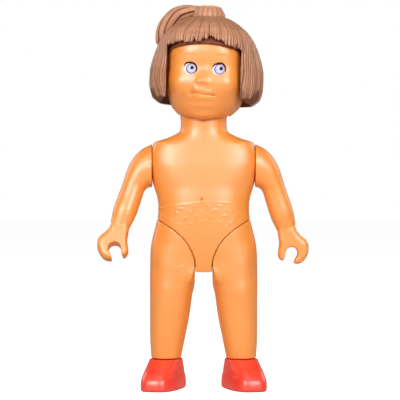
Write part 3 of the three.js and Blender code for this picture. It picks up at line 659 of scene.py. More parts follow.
class Refiner:
    """Turns a faceted node of the frame into a dense, softly rounded form."""

    def __init__(self, node: str) -> None:
        """Starts from a node.

        Args:
            node: The node's name in the frame.
        """
        self.node = node
        self.source = frame["nodes"][node]

    def creases(self, limit: float = 38, spacing: float = 0.3) -> list[Vector]:
        """Points along the node's sharp edges.

        Args:
            limit: The smallest fold that counts, in degrees.
            spacing: Distance between points, in mm.

        Returns:
            The points, in mm.
        """
        work = bmesh.new()
        work.from_mesh(self.source.data)
        bmesh.ops.remove_doubles(work, verts=work.verts, dist=1e-6)
        found = []
        for edge in work.edges:
            if len(edge.link_faces) == 2 and edge.calc_face_angle(0) > math.radians(limit):
                a, b = (v.co / MM for v in edge.verts)
                steps = max(1, int((b - a).length / spacing))
                found += [a.lerp(b, i / steps) for i in range(steps + 1)]
        work.free()
        return found

    def remeshed(self, voxel: float) -> tuple[Array, Array]:
        """The node's surface in even small quads.

        Args:
            voxel: Size of a quad, in mm.

        Returns:
            Points in mm, and faces.
        """
        item = bpy.data.objects.new("work", self.source.data.copy())
        item.data.transform(((1 / MM, 0, 0, 0), (0, 1 / MM, 0, 0), (0, 0, 1 / MM, 0), (0, 0, 0, 1)))
        bpy.context.scene.collection.objects.link(item)
        change = item.modifiers.new("remesh", "REMESH")
        change.mode = "VOXEL"
        change.voxel_size = voxel
        ready = item.evaluated_get(bpy.context.evaluated_depsgraph_get()).to_mesh()
        points = np.empty(len(ready.vertices) * 3)
        ready.vertices.foreach_get("co", points)
        faces = np.array([tuple(p.vertices) for p in ready.polygons])
        bpy.data.objects.remove(item)
        return points.reshape(-1, 3), faces

    def weights(self, points: Array, keep: Pair) -> Array:
        """How far each point may move, by its distance from the sharp edges.

        Args:
            points: The points.
            keep: Distance within which nothing moves, and beyond which all is free.

        Returns:
            A weight from 0 to 1 for each point.
        """
        marks = self.creases()
        if not marks:
            return np.ones(len(points))
        tree = tree_of(marks)
        return smoothstep(*keep, np.array([tree.find(p)[2] for p in points.tolist()]))

    def evened(
        self, points: Array, scale: float, voxel: float = 1.3, near: int = 8,
        keep: Pair = (0.8, 4.5),
    ) -> Array:
        """Takes out the facets: a coarse copy is faired, and its movement carried over.

        Args:
            points: The fine points to move.
            scale: Waves shorter than about four of these go, in mm.
            voxel: The coarse copy's quad, in mm.
            near: How many coarse points a fine point follows.
            keep: Distance from a sharp edge within which nothing moves, and beyond which all is free.

        Returns:
            The moved points.
        """
        coarse, faces = self.remeshed(voxel)
        moved = faired(coarse, faces, (scale / voxel) ** 4, self.weights(coarse, keep)) - coarse
        tree = tree_of(coarse.tolist())
        found = [tree.find_n(point, near) for point in points.tolist()]
        index = np.array([[hit[1] for hit in row] for row in found])
        away = np.array([[hit[2] for hit in row] for row in found])
        share = np.exp(-((away / voxel) ** 2))
        return points + (moved[index] * share[..., None]).sum(1) / share.sum(1)[:, None]

    def build(
        self, voxel: float, rounds: int, edge_rounds: int = 3,
        keep: Pair = (0.4, 1.8), fair: float = 0,
    ) -> Form:
        """The rounded form.

        Args:
            voxel: Size of a quad, in mm.
            rounds: Passes of smoothing far from sharp edges.
            edge_rounds: Passes of smoothing everywhere.
            keep: Distance from a sharp edge within which nothing moves, and beyond which all is free.
            fair: Size of the facets to even out first, in mm, or 0.

        Returns:
            The rounded form.
        """
        points, faces = self.remeshed(voxel * COARSE)
        weight = self.weights(points, keep) if rounds else np.ones(len(points))
        if fair:
            points = self.evened(points, fair)
        points = smoothed(points, faces, edge_rounds, np.ones(len(points)))
        points = smoothed(points, faces, rounds, weight)
        return Form(points, faces)


def faired(
    points: Array, faces: Array, strength: float, weight: Array, rounds: int = 90, grip: float = 4000,
) -> Array:
    """The surface of least bending near a form, found by conjugate gradients.

    Args:
        points: The points.
        faces: The quads.
        strength: How much smoothness counts against staying put.
        weight: How free each point is, from 0 to 1.
        rounds: Steps of the solver.
        grip: How much harder a point that isn't free holds to its place.

    Returns:
        The moved points.
    """
    pairs = edges_of(faces)
    count = np.bincount(pairs[:, 0], minlength=len(points))[:, None]
    hold = 1 + grip * (1 - weight[:, None]) ** 2
    double_bend = 1.25  # what bending twice makes of a point's own place on an even grid
    tiny = 1e-20

    def bend(values: Array) -> Array:
        """Each value against the mean of its neighbours."""
        return (values * count - around(values, pairs)) / 4

    def apply(values: Array) -> Array:
        """The pull on each point."""
        return hold * values + strength * bend(bend(values))

    answer = points.copy()
    scale = hold + strength * double_bend
    rest = hold * points - apply(answer)
    way = rest / scale
    force = (rest * way).sum(0)
    for _ in range(rounds):
        pull = apply(way)
        step = force / np.maximum((way * pull).sum(0), tiny)
        answer += way * step
        rest -= pull * step
        eased = rest / scale
        after = (rest * eased).sum(0)
        way = eased + way * (after / np.maximum(force, tiny))
        force = after
    return answer


@dataclass(frozen=True)
class SeamShade:
    """Painted shade in the narrow gap between two pieces: darker where another piece lies close."""

    near: float = 0.4
    far: float = 0.62
    depth: float = 0.9
    hidden: float = 0.65  # how much less of it lies on faces that look at the other piece
    looks: Pair = (0.5, 0.85)  # how straight a face looks at it, from not at all to fully

    def tint(self, form: Form, *nodes: str) -> None:
        """Paints shade on a form where it lies close to other nodes.

        Args:
            form: The form to shade, in the figure's frame.
            *nodes: The neighbouring nodes.
        """
        closest = np.full(len(form.points), self.far)
        inside = np.zeros(len(form.points))
        out = normals_of(form.points, np.array([face for face in form.faces if len(face) == 4]))
        for node in nodes:
            corners, tree = solid_of(node)
            low, high = corners.min(0) - self.far, corners.max(0) + self.far
            for i in np.flatnonzero(((form.points > low) & (form.points < high)).all(1)):
                place, _, _, away = tree.find_nearest(form.points[i].tolist(), closest[i])
                if away is not None:
                    closest[i] = away
                    inside[i] = out[i] @ (np.array(place) - form.points[i]) / max(away, 1e-6)
        tint = self.depth * (1 - smoothstep(self.near, self.far, closest))
        tint *= 1 - self.hidden * smoothstep(*self.looks, inside)
        form.groove = tint if form.groove is None else np.maximum(form.groove, tint)


def edges_of(faces: Array) -> Array:
    """The pairs of points that share an edge, each way round."""
    sides = faces.shape[1]
    pairs = np.vstack([faces[:, [i, (i + 1) % sides]] for i in range(sides)])
    return np.unique(np.vstack([pairs, pairs[:, ::-1]]), axis=0)


def around(values: Array, pairs: Array) -> Array:
    """The sum of each point's neighbours.

    Args:
        values: Three numbers for each point.
        pairs: The pairs of points that share an edge.

    Returns:
        Three sums for each point.
    """
    own, other = pairs.T
    return np.stack([np.bincount(own, values[other, axis], len(values)) for axis in range(3)], 1)


def smoothed(points: Array, faces: Array, rounds: int, weight: Array, pace: float = 0.6) -> Array:
    """Evens out a surface.

    Args:
        points: The points.
        faces: The quads.
        rounds: Passes.
        weight: How far each point may follow its neighbours, from 0 to 1.
        pace: Share of the way that a free point goes in each pass.

    Returns:
        The moved points.
    """
    pairs = edges_of(faces)
    count = np.bincount(pairs[:, 0], minlength=len(points))
    step = (weight * pace)[:, None]
    for _ in range(rounds):
        points = points + (around(points, pairs) / count[:, None] - points) * step
    return points


def spread_out(values: Array, faces: Array) -> Array:
    """Each point's value, softened with its neighbours' mean.

    Args:
        values: The values.
        faces: The quads.

    Returns:
        The softened values.
    """
    pairs = edges_of(faces)
    count = np.bincount(pairs[:, 0], minlength=len(values))
    return (values + np.bincount(pairs[:, 0], values[pairs[:, 1]], len(values)) / count) / 2


def normals_of(points: Array, faces: Array) -> Array:
    """The outward direction at each point of a mesh of quads.

    Args:
        points: The points.
        faces: The quads.

    Returns:
        A direction of length 1 for each point.
    """
    a, b, c, d = (points[faces[:, i]] for i in range(4))
    face = np.cross(c - a, d - b)
    total = np.zeros_like(points)
    for i in range(4):
        for axis in range(3):
            total[:, axis] += np.bincount(faces[:, i], face[:, axis], len(points))
    return total / np.maximum(np.linalg.norm(total, axis=1), 1e-9)[:, None]


# Torso


@dataclass
class Torso:
    """The two-part trunk, with navel, waistband and embossed lace."""

    voxel: float = 0.48
    rounds: int = 30
    fair: float = 3.6
    navel: Pair = (-1.2, 108.4)
    navel_size: Pair = (0.75, 0.6)
    navel_depth: float = 1.1
    navel_lip: tuple[float, ...] = (1.3, 0.9, 0.6, 0.2)  # how far below, half width, half height, rise
    navel_tint: tuple[float, ...] = (0.62, 0.5, 0.8)  # half width, half height, share of painted shade
    band_knots: tuple[Pair, ...] = (
        (-30, 103), (-24, 103.9), (-6, 106.2), (2, 106.9), (21, 106.2), (30, 104.6),
    )
    band_height: float = 0.24
    band_width: float = 0.34
    brief_rise: float = 0.1
    lace_height: float = 0.26
    lace_pitch: float = 3.1
    lace_line: float = 0.32
    lace_start: Pair = (0.8, 1.6)
    lace_end: Pair = (12, 16.5)
    lace_reach: float = 25
    closing: float = 0.12  # how far each half comes towards the seam between them
    closing_fade: Pair = (1, 0.3)
    seam: SeamShade = SeamShade()

    def band_at(self, x: Array) -> Array:
        """The waistband's height across the front."""
        knots = spline(self.band_knots, 60)
        return np.interp(x, knots[:, 0], knots[:, 1])

    def lace(self, x: Array, z: Array) -> Array:
        """The embossed squiggles under the waistband.

        Args:
            x: Places across.
            z: Places up.

        Returns:
            The relief, from 0 to 1.
        """
        drop = self.band_at(x) - z
        wave = drop + 0.75 * np.sin(x * 1.15 + 0.9 * np.sin(drop * 0.8)) + 0.4 * np.sin(x * 2.9 + drop)
        line = np.exp(-((((wave / self.lace_pitch) % 1) - 0.5) * self.lace_pitch / self.lace_line) ** 2)
        row = np.floor(wave / self.lace_pitch)
        dash = smoothstep(-0.15, 0.35, np.sin(x * 0.83 + row * 2.4 + 0.7 * np.sin(x * 0.31 + row)))
        reach = smoothstep(*self.lace_start, drop) * (1 - smoothstep(*self.lace_end, drop))
        width = self.lace_reach - 0.9 * np.maximum(drop - 4, 0)
        return line * dash * reach * (1 - smoothstep(width - 2, width, np.abs(x + 1)))

    def sculpt(self, form: Form) -> Form:
        """Adds the relief to the front of the trunk.

        Args:
            form: One half of the trunk.

        Returns:
            The same half, with its relief and the navel's painted shade.
        """
        out = normals_of(form.points, np.asarray(form.faces))
        x, y, z = form.points.T
        front = smoothstep(0.1, 0.5, -out[:, 1]) * (y < DOLL_SHIFT - 2)
        around = smoothstep(0.15, 0.4, np.hypot(out[:, 0], out[:, 1])) * (np.abs(y - DOLL_SHIFT) > 1)
        band = self.band_at(x)
        ridge = self.band_height * np.exp(-(((z - band) / self.band_width) ** 2)) * around
        briefs = self.brief_rise * smoothstep(0.3, -0.3, z - band) * around
        across, up = x - self.navel[0], z - self.navel[1]
        below, *lip, rise = self.navel_lip
        dent = -self.navel_depth * bump(across, up, *self.navel_size)
        dent = dent + rise * bump(across, up + below, *lip)
        lace = self.lace_height * self.lace(x, z)
        form.points = form.points + out * (ridge + briefs + front * (dent + lace))[:, None]
        # painted shade in the navel's dent
        *size, share = self.navel_tint
        form.groove = np.clip(front * bump(across, up, *size) * share, 0, 1)
        return form

    def build(self, skin: Material) -> None:
        """Makes both shells of the trunk.

        Args:
            skin: The skin's finish.
        """
        for node in ("torso_front", "torso_back"):
            form = self.sculpt(Refiner(node).build(self.voxel, self.rounds, fair=self.fair))
            across = DOLL_SHIFT - form.points[:, 1]
            near = smoothstep(*self.closing_fade, np.abs(across))
            form.points[:, 1] += np.sign(across) * self.closing * near
            # painted shade in the gaps by the legs and arms
            self.seam.tint(form, "leg_left", "leg_right", "arm_left", "arm_right")
            shell = dress(form.mesh(f"{node}_shell"), Body.TORSO, "skin", skin)
            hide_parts(node)


# Limbs


THIGH_NUBS = {Side.LEFT: (10.6, 70.7), Side.RIGHT: (-12.6, 70.2)}


@dataclass
class Leg:
    """A leg with its shoe and its socket plate."""

    side: Side
    nub: Pair  # where the small moulded mark on the thigh lies, across and up
    voxel: float = 0.48
    rounds: int = 30
    fair: float = 4.2
    seam: SeamShade = SeamShade()
    # painted shade on the shoe where the leg stands in its collar
    collar: SeamShade = SeamShade(0.35, 0.55, 0.7)
    # height, and how far the thigh's front stands out there
    thigh_swell: tuple[Pair, ...] = (
        (57, 0), (61, -0.1), (64, 0.25), (67, 1), (70, 1.6),
        (73, 1.6), (77, 1.1), (82, 0.42), (86, 0.1), (90, 0),
    )
    thigh_inside: Pair = (5.8, 9.5)
    thigh_front: Pair = (4, 11)
    thigh_slope: float = 0.06
    thigh_middle: float = 17
    nub_size: Pair = (0.95, 0.32)
    nub_tilt: float = 0.15
    nub_height: float = 0.38
    shoe_voxel: float = 0.42
    shoe_rounds: int = 20
    shoe_edge_rounds: int = 4
    shoe_keep: Pair = (0.3, 1.6)
    shoe_fair: float = 2.2
    sole_rounds: int = 4

    def thigh(self, form: Form) -> Array:
        """How much fuller the thigh's front is than its solid.

        Args:
            form: The leg.

        Returns:
            The shift towards the front, in mm.
        """
        x, y, z = form.points.T
        swell = spline(self.thigh_swell, 200)
        slope = 1 + self.thigh_slope * (np.abs(x) - self.thigh_middle)
        full = np.interp(z, swell[:, 0], swell[:, 1]) * slope
        deep = DOLL_SHIFT - y
        return full * smoothstep(*self.thigh_front, deep) * smoothstep(*self.thigh_inside, np.abs(x))

    @property
    def body(self) -> Body:
        """The body that the leg is."""
        return Body(f"leg_{self.side.label}")

    def build(self, skin: Material, shoe: Material) -> None:
        """Makes the leg, the shoe and the plate under it.

        Args:
            skin: The skin's finish.
            shoe: The shoe's finish.
        """
        label = self.side.label
        form = Refiner(f"leg_{label}").build(self.voxel, self.rounds, fair=self.fair)
        form.points[:, 1] -= self.thigh(form)
        out = normals_of(form.points, np.asarray(form.faces))
        x, _, z = form.points.T
        across, up = x - self.nub[0], z - self.nub[1]
        nub = bump(across, up - self.nub_tilt * across, *self.nub_size)
        form.points = form.points + out * (self.nub_height * nub * (out[:, 1] < -0.3))[:, None]
        # painted shade in the gap at the hip
        self.seam.tint(form, "torso_front", "torso_back")
        leg = dress(form.mesh(f"leg_{label}_skin"), self.body, "skin", skin)
        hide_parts(f"leg_{label}")
        parts = (("shoe", self.shoe_rounds, self.shoe_fair), ("sole", self.sole_rounds, 0))
        for part, rounds, fair in parts:
            settings = (self.shoe_voxel, rounds, self.shoe_edge_rounds, self.shoe_keep, fair)
            form = Refiner(f"{part}_{label}").build(*settings)
            # painted shade on the shoe round the leg
            self.collar.tint(form, f"leg_{label}")
            item = dress(form.mesh(f"{part}_{label}_red"), self.body, "shoe", shoe)
            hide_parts(f"{part}_{label}")


@dataclass
class Arm:
    """An arm with its grip hand."""

    side: Side
    voxel: float = 0.42
    rounds: int = 22
    edge_rounds: int = 3
    keep: Pair = (0.4, 2)
    fair: float = 2.6
    seam: SeamShade = SeamShade()
    closing: float = 0.2  # how far the flat face comes towards the trunk
    closing_fade: Pair = (1.2, 0.4)

    @property
    def body(self) -> Body:
        """The body that the arm is."""
        return Body(f"arm_{self.side.label}")

    def inner_face(self, form: Form) -> float:
        """How far across the figure the arm's flat face lies, in mm."""
        return float((form.points[:, 0] * self.side.value).min())

    def build(self, skin: Material) -> None:
        """Makes the arm.

        Args:
            skin: The skin's finish.
        """
        node = f"arm_{self.side.label}"
        settings = (self.voxel, self.rounds, self.edge_rounds, self.keep, self.fair)
        form = Refiner(node).build(*settings)
        sign = self.side.value
        away = np.abs(form.points[:, 0] * sign - self.inner_face(form))
        near = smoothstep(*self.closing_fade, away)
        form.points[:, 0] -= sign * self.closing * near
        # painted shade in the gap at the shoulder
        self.seam.tint(form, "torso_front", "torso_back")
        arm = dress(form.mesh(f"{node}_skin"), self.body, "skin", skin)
        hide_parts(node)


# Head


@dataclass
class HeadPlace:
    """Where the head stands: turned and leant about the neck plug's flange."""

    turn: float = -5
    lean: float = 2
    shift: float = 0.8
    flange: float = 153

    def matrix(self) -> Array:
        """The turn from the head's own directions to the figure's."""
        a, b = math.radians(self.turn), math.radians(self.lean)
        about_z = np.array([[math.cos(a), -math.sin(a), 0], [math.sin(a), math.cos(a), 0], [0, 0, 1]])
        about_y = np.array([[math.cos(b), 0, math.sin(b)], [0, 1, 0], [-math.sin(b), 0, math.cos(b)]])
        return about_y @ about_z

    def outward(self, points: Array) -> Array:
        """Moves points from the head's own frame into the figure's."""
        return (points - (0, 0, self.flange)) @ self.matrix().T + (self.shift, DOLL_SHIFT, self.flange)

    def inward(self, points: Array) -> Array:
        """Moves points from the figure's frame into the head's own."""
        return (points - (self.shift, DOLL_SHIFT, self.flange)) @ self.matrix() + (0, 0, self.flange)


@dataclass
class Head:
    """The head: a smooth child's head with moulded nose, lips, cheeks and chin."""

    place: HeadPlace
    # height, width, front, back and superellipse power
    levels: tuple[tuple[float, ...], ...] = (
        (153.8, 13, 15, 8.4, 2.1), (155.6, 25.6, 18, 10.4, 2.15), (158.2, 33.2, 19.6, 12.25, 2.2),
        (163, 40.3, 21.8, 15.5, 2.4), (173, 45, 24.6, 21, 3), (183.5, 45, 24.7, 21, 3),
        (193, 45, 25.1, 21, 2.8), (200.56, 40.5, 22.9, 19.32, 2.6),
        (206.32, 31.5, 18.2, 15.54, 2.6), (211, 13, 6, 6, 2.2),
    )
    jaw_shift: float = 0.5
    jaw_heights: Pair = (164, 156)
    face_fade: float = 6  # over how far in front of the axis its relief sets in
    recess_radius: float = 14.8
    recess_top: float = 157.8
    recess_lip: float = 0.3
    recess_steps: int = 80
    front_columns: int = 280
    back_columns: int = 110
    rows: int = 190
    seam: float = 0.03
    # across, up, half width, half height, rise
    swells: tuple[tuple[float, ...], ...] = (
        (0.3, 172.2, 19, 7, 1.4), (-15.8, 173, 5.2, 6.4, 1.5), (16.4, 172.6, 5.2, 6.4, 1.5),
        (-6.8, 182, 4.6, 3.4, -0.4), (9.1, 182, 4.6, 3.4, -0.4), (0.6, 183.5, 3.4, 3.4, -0.35),
        (-2.7, 174.2, 1.5, 1.2, 0.35), (2.2, 173.9, 1.5, 1.2, 0.35),
        (0, 168, 8, 4, 0.8), (-4.1, 170.7, 1.4, 2.1, 0.75),
        (-2.6, 169.2, 2.3, 1.4, 0.65), (3.4, 168.5, 2.6, 1.3, 0.75), (0.3, 171.4, 1, 1, -0.3),
        (0.6, 165, 5.6, 1.7, 1), (0, 161.4, 6, 2.4, 1),
        (-7, 168, 1.4, 1.1, -0.35), (7, 166.7, 1.5, 1.1, -0.4),
        (-9.8, 168.6, 1.9, 2.6, 0.3), (10, 167.4, 1.9, 2.6, 0.3),
    )
    nose: Pair = (-0.3, 174.8)
    nose_size: tuple[float, float, float] = (3.3, 3.6, 1.25)
    nose_rise: float = 1.4
    mouth: Pair = (0, 167.2)
    mouth_reach: float = 7.7
    mouth_tilt: float = -0.07
    mouth_arches: tuple[tuple[float, float, float], ...] = (
        (-3.2, 2, 0.4), (-7.8, 1.4, -0.3), (7.6, 1.2, 0.12),
    )
    mouth_depth: float = 0.5
    mouth_width: float = 0.38
    mouth_fade: float = 1.4
    # painted shade along the mouth line, and more of it in the corners
    mouth_tint: float = 0.16
    corner_size: float = 1.1
    corner_tint: float = 0.42
    # painted shade on the head where the hair and the trunk lie close
    shade: SeamShade = SeamShade(0.1, 0.8, 0.5)

    def mouth_at(self, x: Array, z: Array) -> tuple[Array, Array]:
        """The line between the lips.

        Args:
            x: Places across, in the head's own frame.
            z: Places up.

        Returns:
            How deep in the line each place is, from 0 to 1, and how near a corner.
        """
        along = x - self.mouth[0]
        line = self.mouth[1] + self.mouth_tilt * along
        for place, wide, rise in self.mouth_arches:
            line = line + rise * np.exp(-(((along - place) / wide) ** 2))
        away = np.abs(along)
        reach = 1 - smoothstep(self.mouth_reach - self.mouth_fade, self.mouth_reach, away)
        deep = reach * np.exp(-(((z - line) / self.mouth_width) ** 2))
        corner = np.exp(-(((away - self.mouth_reach + self.corner_size) / self.corner_size) ** 2))
        return deep, deep * corner

    def relief(self, x: Array, z: Array) -> Array:
        """How far the face stands out from the plain head.

        Args:
            x: Places across, in the head's own frame.
            z: Places up.

        Returns:
            The rise, in mm.
        """
        total = sum(rise * bump(x - a, z - b, wide, tall) for a, b, wide, tall, rise in self.swells)
        wide, above, below = self.nose_size
        up = z - self.nose[1]
        total += self.nose_rise * bump(x - self.nose[0], up / np.where(up > 0, above, below), wide, 1)
        return total - self.mouth_depth * self.mouth_at(x, z)[0]

    def heights(self) -> Array:
        """Heights from the chin to the crown, evenly spaced along the profile."""
        fine = spline(self.levels, 1600)[:, [0, 2]]
        length = lengths(fine)
        return np.interp(np.linspace(0, length[-1], self.rows), length, fine[:, 0])

    def outline(self, z: Array) -> tuple[Array, Array, Array, Array]:
        """The head's half width, front, back and power at each height."""
        fine = spline(self.levels, 1200)
        half, front, back, power = (np.interp(z, fine[:, 0], fine[:, i]) for i in (1, 2, 3, 4))
        return half / 2, front, back, power

    def radius(self, turn: Array, z: Array) -> Array:
        """The head's reach from its axis, by direction and height."""
        half, front, back, power = self.outline(z)
        depth = np.where(np.sin(turn) < 0, front, back)
        across, deep = np.abs(np.cos(turn) / half), np.abs(np.sin(turn) / depth)
        return (across**power + deep**power) ** (-1 / power)

    def face_point(self, x: Array, z: Array, lift: float = 0) -> Array:
        """Places on the face's surface.

        Args:
            x: Places across.
            z: Places up.
            lift: How far in front of the surface, in mm.

        Returns:
            The points, in the head's own frame.
        """
        half, front, _, power = self.outline(z)
        across = np.minimum(np.abs(x / half), 0.999)
        y = -front * (1 - across**power) ** (1 / power) - self.relief(x, z)
        return np.stack([x, y - lift, z], -1)

    def surface(self, turn: Array) -> Array:
        """The head's surface from the neck's recess to the crown.

        Args:
            turn: The directions of its columns.

        Returns:
            Points as rows by columns by 3, in the head's own frame.
        """
        top = self.levels[-1][0]
        heights = np.linspace(self.levels[0][0], self.recess_top, self.recess_steps)
        reach = self.radius(turn[None, :], heights[:, None])
        start = np.array([
            np.interp(self.recess_radius, column, heights)
            if column[-1] > self.recess_radius else self.recess_top
            for column in reach.T
        ])
        fine = self.heights()
        share = (fine - fine[0]) / (top - fine[0])
        z = start[None, :] + (top - start)[None, :] * share[:, None]
        outer = circle(turn, self.radius(turn[None, :], z), z)
        face = smoothstep(0, self.face_fade, -outer[..., 1])
        outer[..., 1] -= self.relief(outer[..., 0], outer[..., 2]) * face
        outer[..., 0] -= self.jaw_shift * smoothstep(*self.jaw_heights, outer[..., 2])
        wall = np.minimum(self.recess_radius, reach[-1]) - self.recess_lip
        return np.concatenate([circle(turn, wall, self.recess_top)[None], outer])

    def build(self, skin: Material) -> None:
        """Makes the head's front and back.

        Args:
            skin: The skin's finish.
        """
        halves = (("head_front", -1, np.pi, self.front_columns), ("head_back", 1, 0, self.back_columns))
        for node, sign, start, columns in halves:
            turn = np.linspace(start, start + np.pi, columns + 1)
            half = self.halved(self.surface(turn), sign)
            line, corner = self.mouth_at(half.points[:, 0], half.points[:, 2])
            # painted shade along the mouth line and in its corners, on the face only
            tint = line * self.mouth_tint + corner * self.corner_tint
            half.groove = tint * (half.points[:, 1] < -10)
            half.points = self.place.outward(half.points)
            # painted shade next to the hair and the trunk
            self.shade.tint(half, "hair_cap", "torso_front", "torso_back")
            item = dress(half.mesh(f"{node}_skin"), Body.HEAD, "skin", skin)
            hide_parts(node)

    def halved(self, rows: Array, sign: int) -> Form:
        """Closes half a head with a flat wall along the seam.

        Args:
            rows: The surface, from the recess to the crown.
            sign: -1 for the front, 1 for the back.

        Returns:
            The closed form.
        """
        rows = rows.copy()
        rows[..., 1] = sign * np.maximum(sign * rows[..., 1], self.seam)
        count, columns = rows.shape[:2]
        last = columns - 1
        roof = 1 + int(np.argmax(rows[1:, 0, 2] >= self.recess_top))  # the first row above the recess
        kept = np.r_[0, roof:count]
        middle = (rows[kept, 0] + rows[kept, -1]) / 2
        points = np.vstack([rows.reshape(-1, 3), middle])
        faces = grid_faces(count, columns, closed=False)
        axis = count * columns
        for row in range(1, roof):
            a, b = row * columns, (row + 1) * columns
            faces += [(a, b, 0), (a + last, last, b + last)]
        walls = [(0, roof, axis, axis + 1)]
        for row in range(roof, count - 1):
            inner = axis + row - roof + 1
            walls.append((row, row + 1, inner, inner + 1))
        for low, high, inner_low, inner_high in walls:
            a, b = low * columns, high * columns
            faces += [(a, b, inner_high, inner_low), (a + last, inner_low, inner_high, b + last)]
        for row, centre in ((0, axis), (count - 1, len(points) - 1)):
            start = row * columns
            faces += [(start + column, start + column + 1, centre) for column in range(last)]
        return Form(points, faces)


@dataclass(frozen=True)
class PrintedEye:
    """Where one printed eye's parts lie, from the iris's middle or in the head's own frame."""

    side: Side
    place: float
    glance: Pair
    lash: tuple[Pair, ...]
    # foot across and up, then the run and climb to the tip
    spikes: tuple[tuple[float, float, float, float], ...]
    brow: tuple[Pair, ...]


PRINTED_EYES = (
    PrintedEye(
        Side.RIGHT, -6.8, (0.45, 0.6),
        ((-4.2, 1.1), (-2.95, 3.0), (-0.56, 3.5), (1.85, 2.8), (3.2, 0.6), (3.0, -1.0), (1.85, -2.3)),
        ((-3.2, 2.6, -0.9, 0.75), (-2.5, 3.1, -0.6, 0.8), (-3.7, 1.9, -0.85, 0.35)),
        ((-11.1, 190), (-8.4, 190.2), (-6.35, 190.15), (-4.95, 189.4), (-3.85, 188.6)),
    ),
    PrintedEye(
        Side.LEFT, 9.15, (0.9, 0.55),
        ((-4.0, 0.3), (-2.95, 2.4), (-0.1, 3.5), (1.9, 3.15), (3.2, 1.5), (3.45, -0.3), (3.1, -1.6)),
        ((-2.6, 2.7, -0.7, 0.6), (-0.9, 3.5, -0.3, 0.6), (1.2, 3.5, 0.25, 0.55)),
        ((6.6, 189), (8.25, 189.8), (10.05, 190.15), (12, 189.9), (14.4, 188.8)),
    ),
)


Film = tuple[Form, Array | None, str]  # a film, each point's share of the way to its edge, its paint


